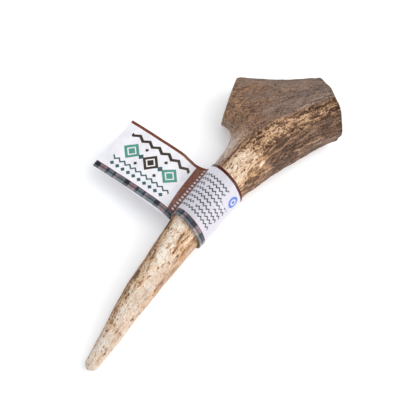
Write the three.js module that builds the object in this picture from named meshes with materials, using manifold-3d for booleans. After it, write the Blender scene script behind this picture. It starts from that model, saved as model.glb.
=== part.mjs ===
// Antler dog chew: one tine of a stag's antler with a short sawn length of the beam that it grew from,
// lying on its side, and the printed film label that is looped round the tine and stuck together into a
// flat flag beside it.
// Millimetres, +Z up. +X runs from the tip of the tine to the fork and +Y runs out along the flag. The
// origin is under the middle of the whole object, on the surface that it lies on.
import * as THREE from 'three';
import { mergeVertices } from 'three/addons/utils/BufferGeometryUtils.js';
import Module from 'manifold-3d';

const wasm = await Module();
wasm.setup();

// Where the drawing's own zero goes, so that the origin ends up under the middle of the object.
const DRAWING_SHIFT = new THREE.Vector3(3.2, -11.5, 0);

// Stations of a limb: the middle of its section, then half its breadth and half its height there.
// The tine rises gently from its tip, so that the label hangs clear of the surface.
const TINE_AND_BEAM = [
  { at: [-123.4, -10.0, 4.2], half: [4.9, 4.9] },
  { at: [-112, -9.3, 5.7], half: [5.8, 5.6] },
  { at: [-100, -8.5, 7.4], half: [7.0, 6.8] },
  { at: [-85, -7.1, 9.0], half: [8.3, 8.1] },
  { at: [-70, -6.2, 10.4], half: [9.4, 9.2] },
  { at: [-50, -6.1, 12.3], half: [10.6, 10.4] },
  { at: [-30, -5.6, 14.1], half: [11.6, 11.4] },
  { at: [-10, -5.9, 15.7], half: [12.4, 12.2] },
  { at: [10, -7.0, 16.6], half: [13.0, 12.8] },
  { at: [24, -7.8, 16.9], half: [14.4, 13.2] },
  { at: [38, -8.8, 16.6], half: [16.8, 13.4] },
  { at: [54, -10.6, 16.0], half: [20.0, 13.4] },
  { at: [72, -14.4, 15.2], half: [22.6, 13.2] },
  { at: [90, -20.2, 14.0], half: [23.9, 13.3] },
  { at: [108, -29.8, 13.2], half: [24.2, 13.7] },
  { at: [119, -38.8, 13.0], half: [25.0, 13.6] },
];
const SAWN_ARM = [
  { at: [65.5, 40.5, 11.6], half: [17.0, 12.7] },
  { at: [72.5, 28.6, 11.8], half: [18.2, 12.9] },
  { at: [78, 12, 12.8], half: [23.5, 12.6] },
  { at: [86, -5, 13.8], half: [24.5, 11.4] },
  { at: [97, -19, 13.8], half: [17.0, 8.0] },
  { at: [106, -29, 13.8], half: [9.0, 4.0] },
];
const END_CAP = 5.2;
const FORK_BLEND = 11;
// The tine is round in section. The beam is flatter above and below.
const BEAM = { from: 30, to: 70, sectionPower: 2.3 };
const TINE_SECTION_POWER = 2;

// The two saw cuts: a point on the face, its outward bearing in the XY plane, and how far it looks up.
const CUTS = [
  { at: [73.4, 29, 13], bearing: 108.5, up: 5 },
  { at: [106.6, -28.2, 13], bearing: -36.4, up: -15 },
];
const SAW_BLOCK = [60, 160, 160];
const WELD = 0.02;

// Long flutes that run with the grain and wander a little from side to side, and low lumps over them.
// Both are only ever cut inwards, and they are shallow where the label is wound on.
const FLUTE = {
  count: 9,
  onTine: 0.4,
  onBeam: 0.9,
  wander: [{ turn: 0.9, reach: 23, twist: 2 }, { turn: 0.5, reach: 11, twist: -1 }],
};
const LUMP = {
  depth: 0.55,
  broad: { share: 0.3, alongX: 31, alongY: 34, alongZ: 19, start: 1.3 },
  small: { share: 0.2, alongX: -13, alongY: 19, alongZ: 13, start: 0.4 },
};
const LABEL_SEAT = { from: -27, to: 27, fade: 8, keep: 0.35 };

// The grid that the antler's surface is drawn on. It is longer along the grain than across it.
const GRID = { from: [-136, -68, -4], to: [144, 60, 34], cell: [4.2, 2.25, 2.15] };
// How a point of that surface is settled: its steps, the reach that the slope is measured over, the
// gentlest slope that it trusts, and the longest step as a share of a cell.
const SETTLE = { steps: 4, reach: 0.05, leastSlope: 0.2, longest: 1 / 3 };
const SAMPLES_PER_STATION = 10;

// The label: a strip of film between its lower and upper edges, wound into a band round the tine.
const LABEL = { lower: -21.8, upper: 20.8, film: 0.34, rows: 8 };
const BAND = {
  lower: { centre: [-6.05, 14.9], radius: 13.3 },
  upper: { centre: [-7.6, 17.0], radius: 14.5 },
  turns: 34,
};
// The tine tapers, so the band leans towards the tip on the side away from the flag.
const LEAN = { atFlag: 1.2, perWidth: 0.235, from: 6 };
// Where the two halves of the film meet beside the tine, in the (y, z) plane, at each edge.
const SEAM = { lower: [7.6, 7.4], upper: [8.4, 14.2], throat: 0.95 };
// Points on the flag from the seam to its free end, along its lower and upper edges.
const FLAG = {
  lower: [[11, 10.6], [17, 13.0], [27, 14.6], [46, 15.4], [71.6, 14.6]],
  upper: [[12, 10.9], [18.5, 8.9], [25, 11.4], [33, 14.2], [71.6, 15.0]],
  dipFrom: 0.1,
  steps: 14,
  crowding: 1.35,
};

const COLOURS = { antler: 0xb39a7c, label: 0xe9e6ee };
const ROUGHNESS = { antler: 0.6, label: 0.25 };

// A limb that tapers along a curve: the nearest place on its middle line, and where a point is beside it.
class Limb {
  constructor(stations) {
    const middles = new THREE.CatmullRomCurve3(stations.map((s) => new THREE.Vector3(...s.at)));
    const halves = new THREE.CatmullRomCurve3(stations.map((s) => new THREE.Vector3(...s.half, 0)));
    this.count = stations.length * SAMPLES_PER_STATION;
    this.samples = Array.from({ length: this.count + 1 }, (_, i) => {
      const t = i / this.count;
      return { middle: middles.getPoint(t), half: halves.getPoint(t) };
    });
  }

  // The sample nearest to a point, apart from the first and the last.
  nearestSample(point) {
    let best = 0;
    let least = Infinity;
    this.samples.forEach(({ middle }, i) => {
      const distance = middle.distanceToSquared(point);
      if (distance < least) {
        least = distance;
        best = i;
      }
    });
    return Math.min(Math.max(best, 1), this.count - 1);
  }

  // Where a point is beside the limb: across and up in half breadths and half heights, and past its ends
  // in caps.
  place(point) {
    const i = this.nearestSample(point);
    const before = this.samples[i - 1];
    const after = this.samples[i + 1];
    const ahead = after.middle.clone().sub(before.middle);
    const length = ahead.length();
    ahead.divideScalar(length);
    const travel = point.clone().sub(before.middle).dot(ahead);
    const share = THREE.MathUtils.clamp(travel / length, 0, 1);
    const middle = before.middle.clone().lerp(after.middle, share);
    const half = before.half.clone().lerp(after.half, share);
    const side = new THREE.Vector3(-ahead.y, ahead.x, 0).normalize();
    const above = ahead.clone().cross(side);
    const offset = point.clone().sub(middle);
    const past = share === 0 || share === 1 ? offset.dot(ahead) / END_CAP : 0;
    return {
      across: offset.dot(side) / half.x,
      up: offset.dot(above) / half.y,
      past,
      half,
    };
  }
}

const tine = new Limb(TINE_AND_BEAM);
const arm = new Limb(SAWN_ARM);

function smoothStep(from, to, value) {
  return THREE.MathUtils.smoothstep(value, from, to);
}

// How far along a point is from round tine, 0, to flat beam, 1.
function beamShare(point) {
  return smoothStep(BEAM.from, BEAM.to, point.x);
}

// How far a point is outside a limb, in millimetres, near enough for joining the limbs.
function outside(place, beam) {
  const power = THREE.MathUtils.lerp(TINE_SECTION_POWER, BEAM.sectionPower, beam);
  const beside = Math.abs(place.across) ** power + Math.abs(place.up) ** power;
  const round = Math.hypot(beside ** (1 / power), place.past);
  return (round - 1) * place.half.y;
}

function blend(a, b, width) {
  const near = Math.max(width - Math.abs(a - b), 0) / width;
  return Math.min(a, b) - (near * near * width) / 4;
}

function fluteDepth(place, point) {
  const around = Math.atan2(place.up, place.across);
  const wander = FLUTE.wander.reduce(
    (sum, { turn, reach, twist }) => sum + turn * Math.sin(point.x / reach + twist * around), 0,
  );
  const wave = 0.5 - 0.5 * Math.cos(FLUTE.count * around + wander);
  return wave * THREE.MathUtils.lerp(FLUTE.onTine, FLUTE.onBeam, beamShare(point));
}

// A wave over the surface, whose lengths along the three axes are given.
function lumpWave(point, { share, alongX, alongY, alongZ, start }) {
  const flat = Math.sin(2 * Math.PI * (point.x / alongX + point.y / alongY));
  return share * flat * Math.cos((2 * Math.PI * point.z) / alongZ + start);
}

function lumpDepth(point) {
  return LUMP.depth * (0.5 + lumpWave(point, LUMP.broad) + lumpWave(point, LUMP.small));
}

// How much of the relief is left at a place along the tine.
function reliefShare(x) {
  const { from, to, fade, keep } = LABEL_SEAT;
  const underLabel = smoothStep(from - fade, from, x) * (1 - smoothStep(to, to + fade, x));
  return THREE.MathUtils.lerp(1, keep, underLabel);
}

// Negative inside the antler. It is worn flat where it touches the surface that it lies on.
function antlerField(point) {
  const onTine = tine.place(point);
  const onArm = arm.place(point);
  const beam = beamShare(point);
  const form = blend(outside(onTine, beam), outside(onArm, beam), FORK_BLEND);
  const carved = form + reliefShare(point.x) * (fluteDepth(onTine, point) + lumpDepth(point));
  return Math.max(carved, -point.z);
}

// A closed surface where the field is zero: one point in each cell that the surface passes through, joined
// to its neighbours across every grid edge that it crosses.
class SurfaceNet {
  constructor(field, grid) {
    this.field = field;
    this.grid = grid;
    this.size = grid.cell.map((cell, i) => Math.ceil((grid.to[i] - grid.from[i]) / cell) + 1);
    this.values = new Float64Array(this.size[0] * this.size[1] * this.size[2]);
    this.points = [];
    this.pointOfCell = new Map();
    this.triangles = [];
  }

  index(i, j, k) {
    return (k * this.size[1] + j) * this.size[0] + i;
  }

  corner(i, j, k) {
    const { from, cell } = this.grid;
    return new THREE.Vector3(from[0] + i * cell[0], from[1] + j * cell[1], from[2] + k * cell[2]);
  }

  eachCorner(limit, visit) {
    for (let k = 0; k < this.size[2] - limit; k += 1) {
      for (let j = 0; j < this.size[1] - limit; j += 1) {
        for (let i = 0; i < this.size[0] - limit; i += 1) visit(i, j, k);
      }
    }
  }

  crossings(i, j, k) {
    const found = [];
    const corners = [[0, 0, 0], [1, 0, 0], [0, 1, 0], [1, 1, 0], [0, 0, 1], [1, 0, 1], [0, 1, 1], [1, 1, 1]];
    corners.forEach((a, first) => {
      corners.slice(first + 1).forEach((b) => {
        const apart = Math.abs(a[0] - b[0]) + Math.abs(a[1] - b[1]) + Math.abs(a[2] - b[2]);
        if (apart !== 1) return;
        const here = this.values[this.index(i + a[0], j + a[1], k + a[2])];
        const there = this.values[this.index(i + b[0], j + b[1], k + b[2])];
        if (here < 0 === there < 0) return;
        const from = this.corner(i + a[0], j + a[1], k + a[2]);
        found.push(from.lerp(this.corner(i + b[0], j + b[1], k + b[2]), here / (here - there)));
      });
    });
    return found;
  }

  // Moves a point down or up the slope of the field until it lies on the surface.
  settle(point) {
    const { reach } = SETTLE;
    for (let step = 0; step < SETTLE.steps; step += 1) {
      const value = this.field(point);
      const slope = new THREE.Vector3(
        this.field(point.clone().add(new THREE.Vector3(reach, 0, 0))) - value,
        this.field(point.clone().add(new THREE.Vector3(0, reach, 0))) - value,
        this.field(point.clone().add(new THREE.Vector3(0, 0, reach))) - value,
      ).divideScalar(reach);
      const steepness = Math.max(slope.length(), SETTLE.leastSlope);
      const move = slope.multiplyScalar(-value / steepness ** 2);
      point.add(move.clampLength(0, this.grid.cell[2] * SETTLE.longest));
    }
    return point;
  }

  placePoints() {
    this.eachCorner(1, (i, j, k) => {
      const found = this.crossings(i, j, k);
      if (!found.length) return;
      const middle = found.reduce((sum, point) => sum.add(point), new THREE.Vector3());
      this.pointOfCell.set(this.index(i, j, k), this.points.length);
      this.points.push(this.settle(middle.divideScalar(found.length)));
    });
  }

  addQuad(corners) {
    const [a, b, c, d] = corners;
    const points = corners.map((corner) => this.points[corner]);
    if (points[0].distanceTo(points[2]) < points[1].distanceTo(points[3])) {
      this.triangles.push(a, b, c, a, c, d);
    } else {
      this.triangles.push(a, b, d, b, c, d);
    }
  }

  joinPoints() {
    const turns = [[0, 1, 2], [1, 2, 0], [2, 0, 1]];
    this.eachCorner(1, (i, j, k) => {
      if (i === 0 || j === 0 || k === 0) return;
      turns.forEach(([ahead, side, up]) => {
        const next = [i, j, k];
        next[ahead] += 1;
        const inHere = this.values[this.index(i, j, k)] < 0;
        if (inHere === this.values[this.index(...next)] < 0) return;
        const cells = [[0, 0], [1, 0], [1, 1], [0, 1]].map(([back, down]) => {
          const cell = [i, j, k];
          cell[side] -= back;
          cell[up] -= down;
          return this.pointOfCell.get(this.index(...cell));
        });
        this.addQuad(inHere ? cells : cells.reverse());
      });
    });
  }

  geometry() {
    this.eachCorner(0, (i, j, k) => {
      this.values[this.index(i, j, k)] = this.field(this.corner(i, j, k));
    });
    this.placePoints();
    this.joinPoints();
    return toGeometry(this.points.flatMap((point) => point.toArray()), this.triangles);
  }
}

function toGeometry(positions, triangles) {
  const geometry = new THREE.BufferGeometry();
  geometry.setAttribute('position', new THREE.Float32BufferAttribute(positions, 3));
  geometry.setIndex(triangles);
  return geometry;
}

function toSolid(geometry) {
  const bare = geometry.clone();
  bare.deleteAttribute('normal');
  bare.deleteAttribute('uv');
  const merged = mergeVertices(bare);
  return new wasm.Manifold(new wasm.Mesh({
    numProp: 3,
    vertProperties: new Float32Array(merged.attributes.position.array),
    triVerts: new Uint32Array(merged.index.array),
  }));
}

// Points that a cut leaves closer together than the weld become one, and the slivers between them go.
function fromSolid(solid) {
  const { vertProperties, triVerts } = solid.getMesh();
  const welded = mergeVertices(toGeometry(Array.from(vertProperties), Array.from(triVerts)), WELD);
  const corners = Array.from(welded.index.array);
  const triangles = [];
  for (let i = 0; i < corners.length; i += 3) {
    const triangle = corners.slice(i, i + 3);
    if (new Set(triangle).size === 3) triangles.push(...triangle);
  }
  return toGeometry(Array.from(welded.attributes.position.array), triangles);
}

function sawBlock(cut) {
  const bearing = THREE.MathUtils.degToRad(cut.bearing);
  const up = THREE.MathUtils.degToRad(cut.up);
  const outward = new THREE.Vector3(
    Math.cos(bearing) * Math.cos(up), Math.sin(bearing) * Math.cos(up), Math.sin(up),
  );
  const block = new THREE.BoxGeometry(...SAW_BLOCK);
  block.translate(SAW_BLOCK[0] / 2, 0, 0);
  block.applyQuaternion(new THREE.Quaternion().setFromUnitVectors(new THREE.Vector3(1, 0, 0), outward));
  block.translate(...cut.at);
  return toSolid(block);
}

function antlerGeometry() {
  const grown = toSolid(new SurfaceNet(antlerField, GRID).geometry());
  return fromSolid(CUTS.reduce((solid, cut) => solid.subtract(sawBlock(cut)), grown));
}

function mix(lower, upper, share) {
  return lower.map((value, i) => THREE.MathUtils.lerp(value, upper[i], share));
}

// The flag's middle line in the (y, z) plane, from the seam outwards. Its steps are closer near the seam.
function flagLine(seam, share) {
  const dip = smoothStep(FLAG.dipFrom, 1, share);
  const outer = FLAG.lower.map((point, i) => mix(point, FLAG.upper[i], dip));
  const curve = new THREE.SplineCurve([seam.toArray(), ...outer].map(([y, z]) => new THREE.Vector2(y, z)));
  return Array.from({ length: FLAG.steps + 1 }, (_, i) => {
    const t = (i / FLAG.steps) ** FLAG.crowding;
    const ahead = curve.getTangent(t);
    return { point: curve.getPoint(t), normal: new THREE.Vector2(-ahead.y, ahead.x) };
  });
}

// The arc of the band over the tine, between the two straight stretches that run to the seam.
function bandArc(centre, radius, seam) {
  const toSeam = seam.clone().sub(centre);
  const spread = Math.acos(radius / toSeam.length());
  const turn = 2 * (Math.PI - spread);
  return Array.from({ length: BAND.turns + 1 }, (_, i) => {
    const angle = toSeam.angle() + spread + (turn * i) / BAND.turns;
    return new THREE.Vector2(Math.cos(angle), Math.sin(angle)).multiplyScalar(radius).add(centre);
  });
}

// One section of the label in the (y, z) plane: its outline and the hole that the tine fills.
function labelSection(share) {
  const centre = new THREE.Vector2(...mix(BAND.lower.centre, BAND.upper.centre, share));
  const radius = THREE.MathUtils.lerp(BAND.lower.radius, BAND.upper.radius, share);
  const seam = new THREE.Vector2(...mix(SEAM.lower, SEAM.upper, share));
  const throat = seam.clone().lerp(centre, SEAM.throat / seam.distanceTo(centre));
  const flag = flagLine(seam, share);
  const above = flag.map(({ point, normal }) => point.clone().addScaledVector(normal, LABEL.film));
  const below = flag.map(({ point, normal }) => point.clone().addScaledVector(normal, -LABEL.film));
  return {
    outline: [...bandArc(centre, radius, seam), ...below, ...above.reverse()],
    hole: [throat, ...bandArc(centre, radius - LABEL.film, throat)].reverse(),
  };
}

function leanAt(y) {
  return LEAN.atFlag - LEAN.perWidth * Math.max(LEAN.from - y, 0);
}

// Triangles that close one end of the label, facing along +X or along -X.
function endTriangles({ outline, hole }, facing) {
  const points = [...outline, ...hole];
  return THREE.ShapeUtils.triangulateShape(outline, [hole]).flatMap(([a, b, c]) => {
    const turn = points[b].clone().sub(points[a]).cross(points[c].clone().sub(points[a]));
    return turn * facing > 0 ? [a, b, c] : [a, c, b];
  });
}

function labelGeometry() {
  const sections = Array.from({ length: LABEL.rows + 1 }, (_, i) => labelSection(i / LABEL.rows));
  const positions = sections.flatMap(({ outline, hole }, row) => {
    const x = THREE.MathUtils.lerp(LABEL.lower, LABEL.upper, row / LABEL.rows);
    return [...outline, ...hole].flatMap(({ x: y, y: z }) => [x + leanAt(y), y, z]);
  });
  const outlineCount = sections[0].outline.length;
  const holeCount = sections[0].hole.length;
  const ringCount = outlineCount + holeCount;
  const triangles = [];
  const addWall = (from, count) => {
    for (let i = 0; i < count; i += 1) {
      const [here, next] = [from + i, from + ((i + 1) % count)];
      triangles.push(here, next, next + ringCount, here, next + ringCount, here + ringCount);
    }
  };
  for (let row = 0; row < LABEL.rows; row += 1) {
    addWall(row * ringCount, outlineCount);
    addWall(row * ringCount + outlineCount, holeCount);
  }
  const lastRing = LABEL.rows * ringCount;
  triangles.push(...endTriangles(sections[0], -1));
  triangles.push(...endTriangles(sections[LABEL.rows], 1).map((corner) => corner + lastRing));
  return toGeometry(positions, triangles);
}

function piece(name, geometry, colour, roughness) {
  geometry.computeVertexNormals();
  const material = new THREE.MeshStandardMaterial({ color: colour, roughness, metalness: 0 });
  const mesh = new THREE.Mesh(geometry, material);
  mesh.name = name;
  return mesh;
}

const chew = new THREE.Group();
chew.name = 'antler_dog_chew';
chew.add(piece('antler', antlerGeometry(), COLOURS.antler, ROUGHNESS.antler));
chew.add(piece('label', labelGeometry(), COLOURS.label, ROUGHNESS.label));
chew.position.copy(DRAWING_SHIFT);

export default chew;
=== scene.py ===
"""Dresses the antler dog chew: a piece of sawn antler with a strip of printed film looped round its tine.

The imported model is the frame. The antler here is a close-meshed copy of its node with the relief of grown
antler raised on it, and the label is a thin strip of film that is wound as the node is.
Lengths are in millimetres in the row frame, and the meshes are in metres.
"""

import itertools
import logging
import math
from dataclasses import astuple, dataclass, field, fields
from enum import Enum

import bpy
import numpy as np
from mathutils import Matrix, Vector
from mathutils.kdtree import KDTree


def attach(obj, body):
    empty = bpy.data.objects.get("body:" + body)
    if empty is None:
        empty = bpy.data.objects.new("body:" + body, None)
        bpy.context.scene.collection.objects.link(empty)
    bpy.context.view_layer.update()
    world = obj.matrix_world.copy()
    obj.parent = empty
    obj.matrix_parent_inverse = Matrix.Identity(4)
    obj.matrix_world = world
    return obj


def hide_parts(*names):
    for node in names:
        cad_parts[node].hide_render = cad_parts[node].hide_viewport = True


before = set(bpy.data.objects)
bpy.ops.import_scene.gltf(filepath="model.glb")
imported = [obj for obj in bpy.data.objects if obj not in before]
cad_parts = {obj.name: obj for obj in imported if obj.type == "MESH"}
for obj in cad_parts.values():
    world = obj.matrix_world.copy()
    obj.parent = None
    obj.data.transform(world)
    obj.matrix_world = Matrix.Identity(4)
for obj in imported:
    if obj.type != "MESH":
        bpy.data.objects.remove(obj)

LOG = logging.getLogger("antler_chew")
MM = 0.001
NODE_SHIFT = (3.2, -11.5)
STUDIO_LIGHT = 1.15
GLOSS_SEEN = 0.008
Rows = np.ndarray
Wire = bpy.types.NodeSocket
Colour = tuple[float, float, float, float]


def smooth_step(low: float, high: float, value: Rows) -> Rows:
    """Turns a value into a share that rises smoothly from 0 at low to 1 at high.

    Args:
        low: The value where the share is 0.
        high: The value where the share is 1. It may be the smaller of the two.
        value: The values to turn.

    Returns:
        The shares, from 0 to 1.
    """
    share = np.clip((value - low) / (high - low), 0.0, 1.0)
    return share * share * (3 - 2 * share)


def blend(low: Rows, high: Rows, share: Rows) -> Rows:
    """Mixes two values: low at share 0, and high at share 1."""
    return low + (high - low) * share


def seen(red: float, green: float, blue: float) -> Colour:
    """Turns a colour as it looks under the studio's lights into the surface's own colour.

    The screen's colour is made even by the usual curve, and the gloss and the strength of the lights
    are taken out of it.

    Args:
        red: Its red, from 0 to 255.
        green: Its green.
        blue: Its blue.

    Returns:
        The surface's colour, with its alpha.
    """
    shares = [((value / 255 + 0.055) / 1.055) ** 2.4 for value in (red, green, blue)]
    return (*(max(share - GLOSS_SEEN, 0.0) / STUDIO_LIGHT for share in shares), 1.0)


def deselect_all() -> None:
    """Leaves nothing selected, in object mode."""
    if bpy.context.object and bpy.context.object.mode != "OBJECT":
        bpy.ops.object.mode_set(mode="OBJECT")
    bpy.ops.object.select_all(action="DESELECT")


def pick(piece: bpy.types.Object) -> None:
    """Selects one piece alone and makes it the active one.

    Args:
        piece: The mesh object.
    """
    deselect_all()
    piece.select_set(True)
    bpy.context.view_layer.objects.active = piece


def apply_modifier(piece: bpy.types.Object, kind: str, **settings: object) -> None:
    """Adds a modifier to a piece and applies it.

    Args:
        piece: The mesh object.
        kind: Blender's name for the modifier's type.
        settings: The modifier's own settings.
    """
    pick(piece)
    modifier = piece.modifiers.new(kind.title(), kind)
    for name, value in settings.items():
        setattr(modifier, name, value)
    bpy.ops.object.modifier_apply(modifier=modifier.name)


def read_points(piece: bpy.types.Object) -> Rows:
    """Reads where a mesh's points are.

    Args:
        piece: The mesh object.

    Returns:
        The points in millimetres, one row each.
    """
    points = np.zeros(len(piece.data.vertices) * 3)
    piece.data.vertices.foreach_get("co", points)
    return points.reshape(-1, 3) / MM


def write_points(piece: bpy.types.Object, points: Rows) -> None:
    """Puts a mesh's points at the given places, in millimetres."""
    piece.data.vertices.foreach_set("co", (points * MM).ravel())
    piece.data.update()


def read_normals(piece: bpy.types.Object) -> Rows:
    """Reads which way a mesh's points face.

    Args:
        piece: The mesh object.

    Returns:
        The direction that each point faces, one row each.
    """
    normals = np.zeros(len(piece.data.vertices) * 3)
    piece.data.vertex_normals.foreach_get("vector", normals)
    return normals.reshape(-1, 3)


def store(piece: bpy.types.Object, name: str, values: Rows) -> None:
    """Keeps a number or a vector for each point of a mesh, for its material to read.

    Args:
        piece: The mesh object.
        name: The attribute's name.
        values: One number, or three, for each point.
    """
    vector = values.ndim == 2
    layer = piece.data.attributes.new(name, "FLOAT_VECTOR" if vector else "FLOAT", "POINT")
    layer.data.foreach_set("vector" if vector else "value", values.astype(np.float32).ravel())


@dataclass
class Grit:
    """Noise and scattered dots over points in space, which come out the same on each run."""

    seed: int
    size: int = 256
    gain: float = 1.7
    finer: float = 2.03
    aside: float = 17.3
    order: Rows = field(init=False, repr=False)
    slopes: Rows = field(init=False, repr=False)
    shifts: Rows = field(init=False, repr=False)

    def __post_init__(self) -> None:
        """Draws the tables that the noise is read from."""
        draw = np.random.default_rng(self.seed)
        self.order = draw.permutation(self.size)
        slopes = draw.normal(size=(self.size, 3))
        self.slopes = slopes / np.linalg.norm(slopes, axis=1, keepdims=True)
        self.shifts = draw.random((self.size, 4))

    def entry(self, cell: Rows) -> Rows:
        """Looks up cells in the shuffled table.

        Args:
            cell: The cells' whole numbers, one row each.

        Returns:
            The table entry of each cell.
        """
        last = self.size - 1
        row = self.order[cell[:, 0] & last]
        row = self.order[(row + cell[:, 1]) & last]
        return self.order[(row + cell[:, 2]) & last]

    def noise(self, points: Rows) -> Rows:
        """Draws smooth noise that changes over one unit.

        Args:
            points: Where the noise is read.

        Returns:
            The noise, about -1 to 1.
        """
        cell = np.floor(points).astype(int)
        inside = points - cell
        fade = inside**3 * (inside * (inside * 6 - 15) + 10)
        total = np.zeros(len(points))
        for corner in itertools.product((0, 1), repeat=3):
            slope = self.slopes[self.entry(cell + corner)]
            weight = np.prod(np.where(corner, fade, 1 - fade), axis=1)
            total += weight * np.sum(slope * (inside - corner), axis=1)
        return total * self.gain

    def layers(self, points: Rows, count: int = 3, keep: float = 0.5) -> Rows:
        """Adds ever finer layers of noise.

        Args:
            points: Where the noise is read.
            count: How many layers there are.
            keep: How strong each layer is beside the one before it.

        Returns:
            The noise, about -1 to 1.
        """
        strengths = keep ** np.arange(count)
        parts = [
            self.noise(points * self.finer**i + self.aside * i) * strengths[i] for i in range(count)
        ]
        return sum(parts) / math.sqrt(float(np.sum(strengths**2)))

    def dots(self, points: Rows) -> tuple[Rows, Rows]:
        """Finds the nearest of the dots that are scattered one to a cell.

        Args:
            points: Where the distance is wanted.

        Returns:
            The distance to the nearest dot, and that dot's own random number from 0 to 1.
        """
        cell = np.floor(points).astype(int)
        nearest = np.full(len(points), 9.0)
        number = np.zeros(len(points))
        for offset in itertools.product((-1, 0, 1), repeat=3):
            there = cell + offset
            drawn = self.shifts[self.entry(there)]
            distance = np.linalg.norm(there + drawn[:, :3] - points, axis=1)
            closer = distance < nearest
            nearest[closer] = distance[closer]
            number[closer] = drawn[closer, 3]
        return nearest, number


@dataclass
class Limb:
    """A limb's middle line, from its far end to the sawn end of the beam.

    The stations are (x, y, z) in the node's drawing, and each is passed in a smooth curve.
    """

    stations: tuple[tuple[float, float, float], ...]
    steps: int = 20
    batch: int = 4000
    line: Rows = field(init=False, repr=False)
    travel: Rows = field(init=False, repr=False)

    def __post_init__(self) -> None:
        """Draws the smooth line and measures along it."""
        points = np.array(self.stations) + (*NODE_SHIFT, 0.0)
        points = np.vstack([2 * points[0] - points[1], points, 2 * points[-1] - points[-2]])
        share = np.linspace(0, 1, self.steps, endpoint=False)[:, None]
        spans = []
        for a, b, c, d in zip(points, points[1:], points[2:], points[3:]):
            bend = (2 * a - 5 * b + 4 * c - d) * share**2 + (3 * b - a - 3 * c + d) * share**3
            spans.append(b + 0.5 * ((c - a) * share + bend))
        self.line = np.vstack(spans)
        gaps = np.linalg.norm(np.diff(self.line[:, :2], axis=0), axis=1)
        self.travel = np.concatenate([[0.0], np.cumsum(gaps)])
        self.travel -= self.travel[-1]

    def nearest(self, points: Rows) -> Rows:
        """Finds the part of the line that is nearest to each point, seen from above.

        Args:
            points: Points in the row frame.

        Returns:
            The number of the line's nearest point, for each.
        """
        found = []
        for start in range(0, len(points), self.batch):
            some = points[start:start + self.batch, None, :2]
            found.append(np.argmin(np.sum((some - self.line[None, :, :2]) ** 2, axis=2), axis=1))
        return np.clip(np.concatenate(found), 1, len(self.line) - 2)

    def place(self, points: Rows) -> Rows:
        """Finds where points are beside the limb, as if it were straightened.

        Args:
            points: Points in the row frame.

        Returns:
            For each, how far along it is, which is 0 at the beam's sawn end and less towards the far
            end, how far to the left, and how far above the middle line.
        """
        near = self.nearest(points)
        ahead = (self.line[near + 1] - self.line[near - 1])[:, :2]
        ahead /= np.linalg.norm(ahead, axis=1, keepdims=True)
        offset = points - self.line[near]
        along = self.travel[near] + np.sum(offset[:, :2] * ahead, axis=1)
        across = ahead[:, 0] * offset[:, 1] - ahead[:, 1] * offset[:, 0]
        return np.column_stack([along, across, offset[:, 2]])


@dataclass(frozen=True)
class SawCut:
    """A flat sawn face: a point on it in the node's drawing, and the way that it faces, in degrees."""

    at: tuple[float, float, float]
    bearing: float
    up: float
    reach: float = 45.0

    def outward(self) -> Rows:
        """Turns the face's two angles into a direction.

        Returns:
            The direction that the face looks.
        """
        bearing, up = math.radians(self.bearing), math.radians(self.up)
        flat = math.cos(up)
        return np.array([math.cos(bearing) * flat, math.sin(bearing) * flat, math.sin(up)])

    def depth(self, points: Rows) -> Rows:
        """Measures how far points are behind the face.

        Args:
            points: Points in the row frame.

        Returns:
            The depth of each. A point out of the saw's reach counts as far behind it.
        """
        offset = points - np.array(self.at) - (*NODE_SHIFT, 0.0)
        behind = -offset @ self.outward()
        return np.where(np.linalg.norm(offset, axis=1) < self.reach, behind, self.reach)


@dataclass(frozen=True)
class Push:
    """A soft push on the smooth mesh: its middle, how far it reaches, and how far it moves what is there."""

    at: tuple[float, float, float]
    reach: float
    move: tuple[float, float, float]

    def shift(self, points: Rows) -> Rows:
        """Returns how far each point moves."""
        apart = np.linalg.norm(points - np.array(self.at), axis=1) / self.reach
        return np.exp(-(apart**2))[:, None] * np.array(self.move)


@dataclass(frozen=True)
class Stain:
    """A dark, flecked place: where it is along and across the tine, its reach each way, and its darkness."""

    along: float
    across: float
    length: float
    width: float
    depth: float

    def share(self, along: Rows, across: Rows) -> Rows:
        """Measures how deep in the stain places are.

        Args:
            along: How far along the tine each place is.
            across: How far across it each is.

        Returns:
            The shares, from 0 outside the stain to 1 in its middle.
        """
        ahead = (along - self.along) / self.length
        beside = (across - self.across) / self.width
        return np.exp(-(ahead**2) - beside**2)


@dataclass(frozen=True)
class Stroke:
    """A long mark that runs with the grain: a groove where it is darker, or a worn ridge where it is paler.
    A few near the label are painted shade from the label, or painted light where its shade falls.

    Its path gives places along and across the tine, from the tip's side on.
    """

    path: tuple[tuple[float, float], ...]
    width: float
    tone: float
    height: float = 0.0
    fade: float = 3.0

    def share(self, along: Rows, across: Rows) -> Rows:
        """Measures how much of the mark there is at places.

        Args:
            along: How far along the tine each place is.
            across: How far across it each is.

        Returns:
            The shares, from 0 to 1.
        """
        steps, middles = np.array(self.path).T
        beside = (across - np.interp(along, steps, middles)) / self.width
        begins = smooth_step(steps[0] - 1.0, steps[0] + self.fade, along)
        return np.exp(-(beside**2)) * begins * smooth_step(steps[-1] + 1.0, steps[-1] - self.fade, along)


@dataclass(frozen=True)
class Skin:
    """How one region of the grown surface looks.

    Tone is how light its ridges are, sunk how much darker the hollows between them are, and level how much
    of it is hollow. Run is how straight the ridges run, relief how high they stand, and grey how far its
    brown turns to grey. Crack, hair, fleck and grit are how strong its thin dark lines, thin pale lines,
    small dark pits and finest grain are.
    """

    tone: float
    sunk: float
    level: float
    run: float
    relief: float
    grey: float
    crack: float = 0.0
    hair: float = 0.0
    fleck: float = 0.0
    grit: float = 0.7


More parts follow.
